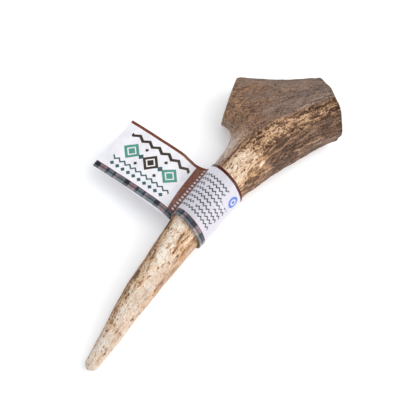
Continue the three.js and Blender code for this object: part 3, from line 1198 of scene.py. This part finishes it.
@dataclass(frozen=True)
class AntlerFinish:
    """Grown antler: pale where it is worn, brown in its hollows, and grey-brown over the beam.

    Sizes are how many of a pattern's features there are to a millimetre, along the grain and both ways
    across it. Scales are how many there are to a metre.
    """

    warm: tuple[tuple[float, Colour], ...] = (
        (0.10, seen(36, 24, 18)), (0.25, seen(80, 56, 41)), (0.35, seen(110, 80, 60)),
        (0.42, seen(130, 98, 76)), (0.50, seen(157, 120, 91)), (0.60, seen(190, 147, 109)),
        (0.68, seen(211, 169, 128)), (0.76, seen(226, 190, 154)), (0.84, seen(240, 210, 180)),
        (0.92, seen(253, 233, 211)), (1.00, seen(266, 258, 246)),
    )
    dull: tuple[tuple[float, Colour], ...] = (
        (0.10, seen(32, 25, 22)), (0.30, seen(91, 74, 64)), (0.42, seen(123, 104, 94)),
        (0.50, seen(145, 125, 114)), (0.65, seen(185, 163, 151)), (0.80, seen(218, 203, 191)),
        (0.92, seen(241, 234, 225)), (1.00, seen(252, 249, 246)),
    )
    rim: tuple[Colour, Colour] = (seen(222, 204, 176), seen(198, 175, 145))
    core: tuple[Colour, Colour] = (seen(160, 136, 110), seen(186, 164, 136))
    pore: Colour = seen(72, 54, 42)
    fibre_size: tuple[float, float, float] = (0.85, 1.55, 1.55)
    crack_size: tuple[float, float, float] = (0.10, 0.58, 0.58)
    hair_size: tuple[float, float, float] = (0.10, 0.85, 0.85)
    fleck_size: tuple[float, float, float] = (0.44, 0.80, 0.80)
    patch_scale: float = 190.0
    pebble_scale: float = 1150.0
    pore_scale: float = 900.0
    ring_scale: float = 500.0
    saw_scale: float = 260.0
    fibre_tone: float = 0.31
    pebble_tone: float = 0.48
    fleck_tone: float = 0.30
    rough_dark: float = 0.62
    rough_worn: float = 0.46
    rough_sawn: float = 0.72
    shine: float = 0.25
    depth: float = 0.25

    def material(self) -> bpy.types.Material:
        """Makes the material.

        Returns:
            The material.
        """
        material, nodes, shader = new_material("Antler")
        grain = nodes.attribute("grain", vector=True)
        where = nodes.add("TexCoord").outputs["Object"]
        sawn = nodes.attribute("sawn")
        tone, height = self.grown_tone(nodes, grain, where)
        patch = nodes.minus(nodes.noise(where, self.patch_scale, 4.0, 0.75), 0.5)
        grey = nodes.plus(nodes.attribute("grey"), nodes.times(patch, 1.5), clamp=True)
        grown = nodes.mix(grey, nodes.ramp(tone, self.warm), nodes.ramp(tone, self.dull))
        sawn_colour, sawn_height = self.sawn_face(nodes, where)
        nodes.feed(shader.inputs["Base Color"], nodes.mix(sawn, grown, sawn_colour))
        polish = nodes.range(tone, 0.35, 0.9, self.rough_dark, self.rough_worn)
        nodes.feed(shader.inputs["Roughness"], nodes.blend(sawn, polish, self.rough_sawn))
        nodes.feed(shader.inputs["Normal"], nodes.bump(nodes.blend(sawn, height, sawn_height), self.depth))
        shader.inputs["Specular IOR Level"].default_value = self.shine
        return material

    def grown_tone(self, nodes: Nodes, grain: Wire, where: Wire) -> tuple[Wire, Wire]:
        """Adds the fine grain to what is stored for the points: fibres, cracks, hair lines and flecks.

        Args:
            nodes: The material's nodes.
            grain: The place in the grain, in millimetres.
            where: The place in space.

        Returns:
            How light the surface is, and its finest relief.
        """
        grit = nodes.attribute("grit")
        fibre = nodes.minus(nodes.noise(nodes.stretch(grain, self.fibre_size), 1.0, 3.0, 0.65), 0.5)
        pebble = nodes.minus(nodes.noise(where, self.pebble_scale, 3.0, 0.7), 0.5)
        fine = nodes.plus(nodes.times(fibre, self.fibre_tone), nodes.times(pebble, self.pebble_tone))
        fine = nodes.times(fine, grit)
        hollow = nodes.range(nodes.plus(nodes.attribute("ridge"), fibre), -0.30, 0.26, 1.0, 0.0)
        tone = nodes.plus(nodes.attribute("tone"), fine)
        tone = nodes.minus(tone, nodes.times(hollow, nodes.attribute("sunk")))
        vein = nodes.noise(nodes.stretch(grain, self.crack_size), 1.0)
        crack = nodes.range(nodes.apart(vein, 0.5), 0.0, 0.035, 1.0, 0.0)
        tone = nodes.minus(tone, nodes.times(crack, nodes.attribute("crack")))
        hair = nodes.range(nodes.noise(nodes.stretch(grain, self.hair_size), 1.0), 0.54, 0.66)
        tone = nodes.plus(tone, nodes.times(hair, nodes.attribute("hair")))
        fleck = self.flecks(nodes, grain)
        tone = nodes.minus(tone, nodes.times(fleck, self.fleck_tone), clamp=True)
        height = nodes.plus(nodes.times(fibre, 2.2), nodes.times(hair, 0.3))
        height = nodes.minus(nodes.times(height, grit), nodes.times(crack, 0.5))
        return tone, nodes.minus(height, fleck)

    def flecks(self, nodes: Nodes, grain: Wire) -> Wire:
        """Adds small dark pits, which the stored share thins out.

        Args:
            nodes: The material's nodes.
            grain: The place in the grain, in millimetres.

        Returns:
            A mask that is 1 in the pits.
        """
        cells = nodes.add("TexVoronoi")
        nodes.feed(cells.inputs["Vector"], nodes.stretch(grain, self.fleck_size))
        cells.inputs["Scale"].default_value = 1.0
        drawn = nodes.add("SeparateColor")
        nodes.feed(drawn.inputs[0], cells.outputs["Color"])
        kept = nodes.math("LESS_THAN", drawn.outputs[0], nodes.attribute("fleck"))
        reach = nodes.times(drawn.outputs[1], 0.2)
        dot = nodes.range(nodes.minus(cells.outputs["Distance"], reach), 0.42, 0.18)
        return nodes.times(dot, kept)

    def sawn_face(self, nodes: Nodes, where: Wire) -> tuple[Wire, Wire]:
        """Adds the look of a sawn face: a pale solid rim round a porous core.

        Args:
            nodes: The material's nodes.
            where: The place that the pattern is read at.

        Returns:
            The face's colour and its height.
        """
        core = nodes.attribute("core")
        cells = nodes.add("TexVoronoi")
        nodes.feed(cells.inputs["Vector"], where)
        cells.inputs["Scale"].default_value = self.pore_scale
        hole = nodes.range(cells.outputs["Distance"], 0.18, 0.42, 1.0, 0.0)
        hole = nodes.times(hole, core)
        rings = nodes.range(nodes.noise(where, self.ring_scale, 3.0, 0.6), 0.3, 0.7)
        rim, flesh = nodes.mix(rings, *self.rim), nodes.mix(rings, *self.core)
        colour = nodes.mix(hole, nodes.mix(core, rim, flesh), self.pore)
        lines = nodes.add("TexWave", wave_type="BANDS", bands_direction="DIAGONAL")
        nodes.feed(lines.inputs["Vector"], where)
        lines.inputs["Scale"].default_value = self.saw_scale
        lines.inputs["Distortion"].default_value = 1.5
        height = nodes.minus(nodes.times(lines.outputs["Fac"], 0.25), hole)
        return colour, height


@dataclass
class Label:
    """A strip of printed film, wound round the tine and stuck to itself as a flag.

    Places are in the node's drawing. A field with two entries has the lower edge's and then the upper
    edge's. The flag's second line is the one that dips near the seam.
    """

    lower: float = -21.8
    upper: float = 20.8
    film: float = 0.2
    column: float = 0.8
    row: float = 0.8
    band_centre: tuple[tuple[float, float], ...] = ((-6.05, 14.9), (-7.6, 17.0))
    band_radius: tuple[float, float] = (13.3, 14.5)
    seam: tuple[tuple[float, float], ...] = ((7.6, 7.4), (8.4, 14.2))
    flag: tuple[tuple[tuple[float, float], ...], ...] = (
        ((11.0, 10.6), (17.0, 13.0), (27.0, 14.6), (46.0, 15.4), (71.6, 14.6)),
        ((12.0, 10.9), (18.5, 8.9), (25.0, 11.4), (33.0, 14.2), (71.6, 15.0)),
    )
    dip_from: float = 0.1
    flag_shift: float = 1.2
    lean: float = 0.235
    lean_from: float = 6.0
    under_offset: float = 0.9
    crumple: float = 0.32
    pleat: float = 0.45

    def section(self, share: float, steps: int = 60) -> tuple[Rows, Rows, float]:
        """Draws the strip's middle line at one place across its width, in the (y, z) plane.

        Args:
            share: How far across the width it is, from 0 at the lower edge to 1 at the upper.
            steps: How many points each stretch of the line has.

        Returns:
            The line's points from the flag's free end, round the tine and back, how far along the
            strip each one is, and how long the flag's first layer is.
        """
        centre = blend(*np.array(self.band_centre), share)
        radius = blend(*self.band_radius, share) - self.film / 2
        seam = blend(*np.array(self.seam), share)
        dip = float(smooth_step(self.dip_from, 1.0, np.array(share)))
        outer = blend(*np.array(self.flag), dip)
        line = self.curve(np.vstack([seam, outer]), steps)
        to_seam = seam - centre
        apart = np.linalg.norm(to_seam)
        spread = math.acos(radius / apart)
        start = math.atan2(to_seam[1], to_seam[0]) + spread
        angles = start + np.linspace(0, 2 * (math.pi - spread), 2 * steps)
        arc = centre + radius * np.column_stack([np.cos(angles), np.sin(angles)])
        ahead = np.gradient(line, axis=0)
        ahead /= np.linalg.norm(ahead, axis=1, keepdims=True)
        side = np.column_stack([-ahead[:, 1], ahead[:, 0]]) * (self.film * 0.62)
        points = np.vstack([(line + side)[::-1], arc, line - side])
        lengths = np.linalg.norm(np.diff(points, axis=0), axis=1)
        return points, np.concatenate([[0.0], np.cumsum(lengths)]), float(np.sum(lengths[:len(line) - 1]))

    @staticmethod
    def curve(points: Rows, steps: int) -> Rows:
        """Draws a smooth curve through points.

        Args:
            points: The points, one row each.
            steps: How many points the curve has.

        Returns:
            The curve's points, closer together near its start.
        """
        padded = np.vstack([points[0], points, points[-1]])
        share = np.linspace(0, 1, steps) ** 1.35 * (len(points) - 1)
        span = np.minimum(share.astype(int), len(points) - 2)
        t = (share - span)[:, None]
        a, b, c, d = (padded[span + i] for i in range(4))
        bend = (2 * a - 5 * b + 4 * c - d) * t**2 + (3 * b - a - 3 * c + d) * t**3
        return b + 0.5 * ((c - a) * t + bend)

    def build(self) -> bpy.types.Object:
        """Winds a flat strip of film into the label.

        Returns:
            The finished object.
        """
        middle = self.section(0.5)
        length, flag_length = middle[1][-1], middle[2]
        columns, rows = round(length / self.column), round((self.upper - self.lower) / self.row)
        deselect_all()
        bpy.ops.mesh.primitive_grid_add(x_subdivisions=columns, y_subdivisions=rows, size=1.0, calc_uvs=True)
        piece = bpy.context.object
        piece.name = piece.data.name = "printed_label"
        flat = read_points(piece) * MM + (0.5, 0.5, 0.0)
        write_points(piece, self.wind(flat[:, 0], flat[:, 1]))
        piece.data.uv_layers[0].name = "strip"
        finish = FilmFinish(length, flag_length, self.upper - self.lower)
        piece.data.materials.append(finish.printed())
        piece.data.materials.append(finish.back())
        apply_modifier(
            piece, "SOLIDIFY", thickness=self.film * MM, offset=0.0, material_offset=1, material_offset_rim=1
        )
        bpy.ops.object.shade_smooth_by_angle(angle=math.radians(40))
        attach(piece, "root")
        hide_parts("label")
        return piece

    def wind(self, along: Rows, across: Rows) -> Rows:
        """Takes places on the flat strip to where they are on the wound one.

        Args:
            along: How far along the strip, from 0 to 1.
            across: How far across it, from 0 at the lower edge to 1 at the upper.

        Returns:
            The points.
        """
        wound = np.zeros((len(along), 3))
        for share in np.unique(np.round(across, 6)):
            here = np.abs(across - share) < 1e-5
            points, travel, flag_length = self.section(float(share))
            there = along[here] * travel[-1]
            y = np.interp(there, travel, points[:, 0])
            z = np.interp(there, travel, points[:, 1])
            x = blend(self.lower, self.upper, share) + self.flag_shift
            x = x - self.lean * np.maximum(self.lean_from - y, 0.0)
            under = there > travel[-1] - flag_length
            x -= self.under_offset * under * smooth_step(58.0, 20.0, y) * smooth_step(8.0, 13.0, y)
            wound[here] = np.column_stack([x, y, z])
        return self.crease(wound) + (*NODE_SHIFT, 0.0)

    def crease(self, wound: Rows) -> Rows:
        """Creases the film: the flag's two layers go up and down as one, and the band's folds stand out.

        Args:
            wound: The smooth label's points, in the node's drawing.

        Returns:
            The creased label's points.
        """
        x, y, _ = wound.T
        across = (x - self.lower) / (self.upper - self.lower)
        ripple = Grit(61).layers(np.column_stack([x / 13.0, y / 10.0, 0 * x]), 2)
        ridge = np.exp(-(((x + 0.22 * y - 19.0) / 1.3) ** 2)) * smooth_step(34.0, 44.0, y)
        on_flag = smooth_step(9.0, 18.0, y)
        up = on_flag * (self.crumple * ripple + 0.5 * self.crumple * ridge)
        centre = blend(*np.array(self.band_centre)[:, None, :], across[:, None])
        out = wound[:, 1:] - centre
        out /= np.linalg.norm(out, axis=1, keepdims=True)
        turn = np.arctan2(out[:, 1], out[:, 0])
        folds = Grit(62).layers(np.column_stack([turn * 2.6, x / 26.0 + turn, 0 * x]), 2)
        stand = self.pleat * np.maximum(folds, 0.0) * smooth_step(10.0, 6.0, y)
        moved = np.column_stack([0 * x, stand * out[:, 0], stand * out[:, 1] + up])
        return wound + moved


@dataclass(frozen=True)
class Lozenges:
    """A row of printed lozenges.

    It has its middle across the strip, their half height and half length, their spacing and where one is,
    their ink, where the row begins and ends, and between which shares of their reach they are open.
    """

    middle: float
    tall: float
    long: float
    period: float
    start: float
    ink: Colour
    span: tuple[float, float]
    hollow: tuple[float, float] = (0.0, 0.0)


@dataclass(frozen=True)
class Zigzag:
    """A printed zigzag line: its middle across the strip, its swing, its thickness and its spacing."""

    middle: float
    swing: float
    thick: float
    period: float
    ink: Colour


@dataclass(frozen=True)
class Stripe:
    """A printed stripe: where it begins and ends, its ink, and how much of the ink is laid."""

    begin: float
    end: float
    ink: Colour
    share: float = 1.0


@dataclass(frozen=True)
class FilmFinish:
    """Glossy white film, printed with a brown edge, a checked edge and plain ornament.

    Places on it are in millimetres along the strip, from the flag's free end, and across it.
    """

    length: float
    flag_length: float
    width: float
    soft: float = 0.12
    flag_print: tuple[float, float] = (6.5, 52.5)
    band_print: tuple[float, float] = (7.0, 34.0)
    line_pitch: float = 3.6
    ring_at: tuple[float, float] = (41.5, 34.0)
    ring_squash: float = 0.8
    check_period: float = 24.0
    check_edge: tuple[float, float] = (4.9, 4.7)
    brown_edge: tuple[float, float] = (2.15, 2.0)
    strip_begin: tuple[float, float] = (-6.0, -5.8)
    strip_end: tuple[float, float] = (1.1, 0.9)
    strip_slant: float = 0.11
    dashes: tuple[float, float] = (-4.0, -2.3)
    dash_pitch: float = 2.6
    front_gloss: float = 0.20
    back_gloss: float = 0.32
    shine: float = 0.22
    coat: float = 0.12
    depth: float = 0.2
    white: tuple[Colour, Colour] = (seen(253, 251, 255), seen(244, 242, 248))
    # Painted shade: the band's white darkens towards its far side, partly the brown antler showing through
    # the thin film.
    band_white: tuple[Colour, Colour] = (seen(249, 246, 253), seen(209, 205, 214))
    brown: tuple[Colour, Colour] = (seen(112, 58, 38), seen(132, 78, 56))
    strip_brown: tuple[Colour, Colour] = (seen(122, 72, 54), seen(150, 102, 86))
    # Painted shade: the brown edge is darker on the band than on the flag.
    dark_brown: Colour = seen(84, 32, 16)
    teal: Colour = seen(86, 158, 140)
    ink: Colour = seen(66, 56, 44)
    slate: Colour = seen(66, 100, 104)
    grey: Colour = seen(56, 60, 70)
    blue: Colour = seen(78, 116, 200)
    red: Colour = seen(150, 40, 56)
    # The flag's ground, then the band's, which is painted darker as shade.
    check_ground: tuple[Colour, Colour] = (seen(108, 120, 128), seen(78, 88, 96))
    blocks: tuple[Stripe, ...] = (
        Stripe(0.6, 4.2, seen(34, 38, 44)),
        Stripe(4.2, 9.6, seen(142, 130, 133)),
        Stripe(9.6, 11.4, seen(58, 66, 74)),
        Stripe(15.2, 16.6, seen(50, 58, 66)),
        Stripe(16.6, 19.4, seen(140, 142, 148)),
    )
    long_lines: tuple[Stripe, ...] = (
        Stripe(0.5, 1.3, seen(170, 168, 172), 0.45),
        Stripe(1.9, 3.1, seen(46, 52, 58), 0.65),
        Stripe(3.9, 4.3, seen(60, 68, 76), 0.50),
    )

    def between(self, nodes: Nodes, value: object, low: float, high: float) -> Wire:
        """Adds a mask that is 1 between two places and 0 beyond them."""
        over = nodes.range(value, low - self.soft, low + self.soft)
        return nodes.times(over, nodes.range(value, high - self.soft, high + self.soft, 1.0, 0.0))

    def wave(self, nodes: Nodes, value: object, period: float, start: float = 0.0) -> Wire:
        """Adds a straight up and down wave, from 0 at its start to 1 half a period on."""
        turns = nodes.divided(nodes.minus(value, start), period)
        return nodes.math("PINGPONG", nodes.times(turns, 2.0), 1.0)

    def checks(self, nodes: Nodes, along: object, across: object, on_band: object) -> Wire:
        """Adds the checked edge: dark and pale blocks that cross, with thin red lines.

        Args:
            nodes: The material's nodes.
            along: The place along the strip.
            across: The place across it.
            on_band: A mask that is 1 on the band, where the print is painted darker as shade.

        Returns:
            The colour.
        """
        # The checks' ground is painted darker on the band, as shade.
        colour = nodes.mix(on_band, *self.check_ground)
        period = self.check_period
        turn = nodes.times(nodes.math("FRACT", nodes.divided(along, period)), period)
        for stripe in self.blocks:
            colour = nodes.mix(self.between(nodes, turn, stripe.begin, stripe.end), colour, stripe.ink)
        for stripe in self.long_lines:
            line = self.between(nodes, across, stripe.begin, stripe.end)
            colour = nodes.mix(nodes.times(line, stripe.share), colour, stripe.ink)
        threads = nodes.range(self.wave(nodes, along, period / 2, 6.9), 0.05, 0.02)
        threads = nodes.math("MAXIMUM", threads, nodes.range(across, 4.35, 4.5))
        return nodes.mix(nodes.times(threads, 0.8), colour, self.red)

    def flat(self, nodes: Nodes, along: object, across: object) -> Wire:
        """Joins a place on the strip into a vector.

        Args:
            nodes: The material's nodes.
            along: The place along the strip.
            across: The place across it.

        Returns:
            The vector.
        """
        node = nodes.add("CombineXYZ")
        nodes.feed(node.inputs[0], along)
        nodes.feed(node.inputs[1], across)
        return node.outputs[0]

    def ornament(self, nodes: Nodes, along: object, across: object, colour: object) -> Wire:
        """Adds the flag's plain ornament: lozenges between bold zigzags.

        Args:
            nodes: The material's nodes.
            along: The place along the strip.
            across: The place across it.
            colour: The colour under it.

        Returns:
            The colour with the ornament.
        """
        whole, middle, inner, ring = self.flag_print, 23.4, (14.2, 45.0), (0.42, 0.60)
        for row in (
            Lozenges(middle, 7.0, 6.6, 15.4, 14.2, self.ink, whole, ring),
            Lozenges(middle, 7.0, 6.6, 30.8, 14.2, self.teal, whole, ring),
            Lozenges(middle, 2.4, 2.2, 15.4, 21.9, self.slate, inner),
            Lozenges(29.6, 1.5, 1.4, 15.4, 21.9, self.ink, inner),
            Lozenges(17.2, 1.5, 1.4, 15.4, 21.9, self.ink, inner),
            Lozenges(8.8, 1.7, 1.7, 4.4, 9.2, self.slate, (7.0, 51.0)),
        ):
            off = nodes.divided(nodes.apart(across, row.middle), row.tall)
            beside = self.wave(nodes, along, row.period, row.start)
            reach = nodes.plus(off, nodes.times(beside, row.period / 2 / row.long))
            mark = nodes.times(nodes.range(reach, 1.0, 0.95), self.between(nodes, along, *row.span))
            opened = (row.tall * edge for edge in row.hollow)
            gap = self.between(nodes, nodes.times(reach, row.tall), *opened)
            colour = nodes.mix(nodes.times(mark, nodes.minus(1.0, gap)), colour, row.ink)
        within = self.between(nodes, along, *whole)
        for line in (Zigzag(34.6, 2.6, 1.2, 7.7, self.ink), Zigzag(13.2, 2.0, 0.7, 4.4, self.slate)):
            swing = nodes.times(nodes.minus(self.wave(nodes, along, line.period), 0.5), line.swing)
            off = nodes.apart(nodes.minus(across, line.middle), swing)
            mark = nodes.range(off, line.thick + self.soft, line.thick - self.soft)
            colour = nodes.mix(nodes.times(mark, within), colour, line.ink)
        return colour

    def chevrons(self, nodes: Nodes, from_seam: object, across: object, colour: object) -> Wire:
        """Adds the band's rows of small chevrons and its blue ring.

        Args:
            nodes: The material's nodes.
            from_seam: The place along the strip past the seam.
            across: The place across it.
            colour: The colour under it.

        Returns:
            The colour with both.
        """
        pitch = self.line_pitch
        first, last = self.band_print
        lines = nodes.divided(across, pitch)
        swing = nodes.times(nodes.minus(self.wave(nodes, from_seam, 2.7), 0.5), 1.5)
        in_line = nodes.minus(nodes.times(nodes.math("FRACT", lines), pitch), pitch / 2)
        mark = nodes.range(nodes.apart(in_line, swing), 0.75, 0.38)
        further = nodes.minus(from_seam, nodes.range(across, 27.1, 26.9, 0.0, 9.0))
        begun = nodes.range(from_seam, first, first + 0.3)
        within = nodes.times(begun, self.between(nodes, across, 7.2, 36.0))
        within = nodes.times(within, nodes.range(further, last, last + 0.3, 1.0, 0.0))
        drawn = self.flat(nodes, nodes.times(from_seam, 0.22), nodes.math("FLOOR", lines))
        breaks = nodes.range(nodes.noise(drawn, 1.0, 0.0), 0.34, 0.38)
        mark = nodes.times(nodes.times(mark, within), breaks)
        colour = nodes.mix(nodes.times(mark, 0.95), colour, self.grey)
        place = nodes.add("VectorMath", operation="DISTANCE")
        at_along, at_across = self.ring_at
        nodes.feed(place.inputs[0], self.flat(nodes, from_seam, nodes.times(across, self.ring_squash)))
        nodes.feed(place.inputs[1], (at_along, at_across * self.ring_squash, 0.0))
        apart = place.outputs["Value"]
        ring = nodes.math("MAXIMUM", self.between(nodes, apart, 1.9, 3.4), nodes.range(apart, 1.1, 0.9))
        return nodes.mix(nodes.times(ring, 0.9), colour, self.blue)

    def crinkle(self) -> bpy.types.NodeTree:
        """Makes the effect that both sides of the film share: its smeared gloss and its fine creases.

        Returns:
            The effect's node group, which is made once.
        """
        name = "Crinkled film"
        if name in bpy.data.node_groups:
            return bpy.data.node_groups[name]
        sides = {"Place": Socket.VECTOR, "Gloss": Socket.NUMBER}
        nodes, entry, leave = new_group(name, sides, {"Roughness": Socket.NUMBER, "Height": Socket.NUMBER})
        smear = nodes.times(nodes.noise(entry["Place"], 0.22, 3.0), 0.24)
        nodes.feed(leave["Roughness"], nodes.plus(entry["Gloss"], smear))
        ripple = nodes.noise(entry["Place"], 0.35, 3.0)
        bend = nodes.noise(nodes.stretch(entry["Place"], (0.15, 0.06, 1.0)), 1.0, 1.0)
        fold = nodes.range(nodes.apart(bend, 0.5), 0.0, 0.018, 0.5, 0.0)
        nodes.feed(leave["Height"], nodes.plus(ripple, fold))
        return nodes.tree

    def place(self, nodes: Nodes) -> tuple[Wire, Wire]:
        """Adds the place on the strip, in millimetres.

        Args:
            nodes: The material's nodes.

        Returns:
            The place along the strip and the place across it.
        """
        split = nodes.add("SeparateXYZ")
        nodes.feed(split.inputs[0], nodes.add("UVMap", uv_map="strip").outputs[0])
        along = nodes.times(split.outputs[0], self.length)
        return along, nodes.times(split.outputs[1], self.width)

    def glaze(self, nodes: Nodes, shader: bpy.types.Node, where: Wire, gloss: float) -> None:
        """Gives a side of the film its gloss and creases.

        Args:
            nodes: The side's nodes.
            shader: Its shader.
            where: The place on the strip.
            gloss: The least roughness.
        """
        effect = nodes.add("Group", node_tree=self.crinkle())
        nodes.feed(effect.inputs["Place"], where)
        nodes.feed(effect.inputs["Gloss"], gloss)
        nodes.feed(shader.inputs["Roughness"], effect.outputs["Roughness"])
        nodes.feed(shader.inputs["Normal"], nodes.bump(effect.outputs["Height"], self.depth))

    def printed(self) -> bpy.types.Material:
        """Makes the printed side's material.

        Returns:
            The material.
        """
        material, nodes, shader = new_material("Printed film")
        along, across = self.place(nodes)
        from_seam = nodes.minus(along, self.flag_length)
        where = self.flat(nodes, along, across)
        cloud = nodes.range(nodes.noise(where, 0.09, 2.0), 0.35, 0.65)
        on_band = nodes.range(from_seam, -2.0, 3.0)
        # Painted shade: the band's white darkens towards its far side.
        shaded_far_side = nodes.range(nodes.plus(from_seam, nodes.times(cloud, 6.0)), 3.0, 44.0)
        band = nodes.mix(shaded_far_side, *self.band_white)
        colour = nodes.mix(on_band, nodes.mix(cloud, *self.white), band)
        colour = self.ornament(nodes, along, across, colour)
        colour = self.chevrons(nodes, from_seam, across, colour)
        worn = nodes.range(nodes.noise(where, 0.5, 3.0), 0.3, 0.7)
        # The brown edge is painted darker on the band, as shade.
        brown = nodes.mix(on_band, nodes.mix(worn, *self.brown), self.dark_brown)
        askew = nodes.plus(from_seam, nodes.times(across, self.strip_slant))
        strip = nodes.times(nodes.range(askew, *self.strip_begin), nodes.range(from_seam, *self.strip_end))
        colour = nodes.mix(strip, colour, nodes.mix(worn, *self.strip_brown))
        dash = nodes.range(self.wave(nodes, across, self.dash_pitch), 0.45, 0.55)
        dash = nodes.times(self.between(nodes, from_seam, *self.dashes), dash)
        colour = nodes.mix(nodes.times(dash, 0.8), colour, self.white[1])
        checked = nodes.range(across, *self.check_edge)
        colour = nodes.mix(checked, colour, self.checks(nodes, along, across, on_band))
        edged = nodes.range(across, *(self.width - inset for inset in self.brown_edge))
        colour = nodes.mix(edged, colour, brown)
        nodes.feed(shader.inputs["Base Color"], colour)
        self.glaze(nodes, shader, where, self.front_gloss)
        shader.inputs["Specular IOR Level"].default_value = self.shine
        shader.inputs["Coat Weight"].default_value = self.coat
        shader.inputs["Coat Roughness"].default_value = self.coat
        return material

    def back(self) -> bpy.types.Material:
        """Makes the plain inner side's material.

        Returns:
            The material.
        """
        material, nodes, shader = new_material("Film back")
        where = self.flat(nodes, *self.place(nodes))
        nodes.feed(shader.inputs["Base Color"], nodes.mix(nodes.noise(where, 0.2, 3.0), *self.white))
        self.glaze(nodes, shader, where, self.back_gloss)
        return material


@dataclass(frozen=True)
class SoftLight:
    """A square light that faces the object. Its place and its side are in metres."""

    name: str
    place: tuple[float, float, float]
    side: float
    watts: float
    tint: tuple[float, float, float]

    def hang(self) -> None:
        """Hangs the light."""
        data = bpy.data.lights.new(self.name, "AREA")
        data.size, data.energy, data.color = self.side, self.watts, self.tint
        light = bpy.data.objects.new(self.name, data)
        light.location = self.place
        light.rotation_euler = (-Vector(self.place)).to_track_quat("-Z", "Y").to_euler()
        bpy.context.scene.collection.objects.link(light)


@dataclass
class Studio:
    """The pale floor, the soft lights and the camera at the photograph's angle."""

    azimuth: float = -54.0
    elevation: float = 62.0
    distance: float = 0.6044
    target: tuple[float, float, float] = (0.0032, -0.0115, 0.014)
    lens: float = 85.0
    floor_side: float = 6.0
    floor_white: Colour = (0.97, 0.97, 0.97, 1.0)
    floor_glow: float = 0.20
    glow_tint: Colour = (0.97, 0.98, 1.0, 1.0)
    room_light: float = 0.72
    room_tint: Colour = (0.93, 0.96, 1.0, 1.0)
    lights: tuple[SoftLight, ...] = (
        SoftLight("key", (0.50, -0.75, 1.05), 1.5, 11.0, (1.0, 0.98, 0.95)),
        SoftLight("low fill", (0.35, -1.05, 0.42), 1.2, 7.5, (1.0, 0.99, 0.97)),
    )

    @classmethod
    def back(cls) -> Vector:
        """Returns the direction from the object to the camera."""
        a, e = math.radians(cls.azimuth), math.radians(cls.elevation)
        return Vector((math.sin(a) * math.cos(e), -math.cos(a) * math.cos(e), math.sin(e)))

    @classmethod
    def right(cls) -> Rows:
        """Returns the direction that is to the right in the photograph."""
        a = math.radians(cls.azimuth)
        return np.array([math.cos(a), math.sin(a), 0.0])

    @classmethod
    def up(cls) -> Rows:
        """Returns the direction that is up in the photograph."""
        return np.cross(np.array(cls.back()), cls.right())

    def build(self) -> None:
        """Makes all of it."""
        self.place_camera()
        self.lay_floor()
        self.hang_lights()

    def place_camera(self) -> None:
        """Makes the camera."""
        data = bpy.data.cameras.new("Camera")
        data.lens, data.sensor_width = self.lens, 36.0
        data.clip_start, data.clip_end = 0.01, 20.0
        camera = bpy.data.objects.new("Camera", data)
        camera.location = Vector(self.target) + self.back() * self.distance
        camera.rotation_euler = (-self.back()).to_track_quat("-Z", "Y").to_euler()
        bpy.context.scene.collection.objects.link(camera)
        bpy.context.scene.camera = camera

    def lay_floor(self) -> None:
        """Lays the floor that the object lies on."""
        deselect_all()
        bpy.ops.mesh.primitive_plane_add(size=self.floor_side)
        floor = bpy.context.object
        floor.name = "floor"
        material, nodes, shader = new_material("Floor")
        shader.inputs["Base Color"].default_value = self.floor_white
        shader.inputs["Roughness"].default_value = 0.9
        shader.inputs["Specular IOR Level"].default_value = 0.1
        shader.inputs["Emission Color"].default_value = self.glow_tint
        shader.inputs["Emission Strength"].default_value = self.floor_glow
        floor.data.materials.append(material)

    def hang_lights(self) -> None:
        """Hangs two large soft lights on the right and lights the room."""
        world = bpy.data.worlds.new("Room")
        world.use_nodes = True
        background = world.node_tree.nodes["Background"]
        background.inputs["Color"].default_value = self.room_tint
        background.inputs["Strength"].default_value = self.room_light
        bpy.context.scene.world = world
        for light in self.lights:
            light.hang()
        bpy.context.scene.view_settings.view_transform = "Standard"


def main() -> None:
    """Builds the object and the studio."""
    logging.basicConfig(level=logging.INFO, format="%(message)s")
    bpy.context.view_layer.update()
    antler = Antler().build()
    antler.data.materials.append(AntlerFinish().material())
    LOG.info("%s: %d faces", antler.name, len(antler.data.polygons))
    label = Label().build()
    LOG.info("%s: %d faces", label.name, len(label.data.polygons))
    Studio().build()


if __name__ == "__main__":
    main()
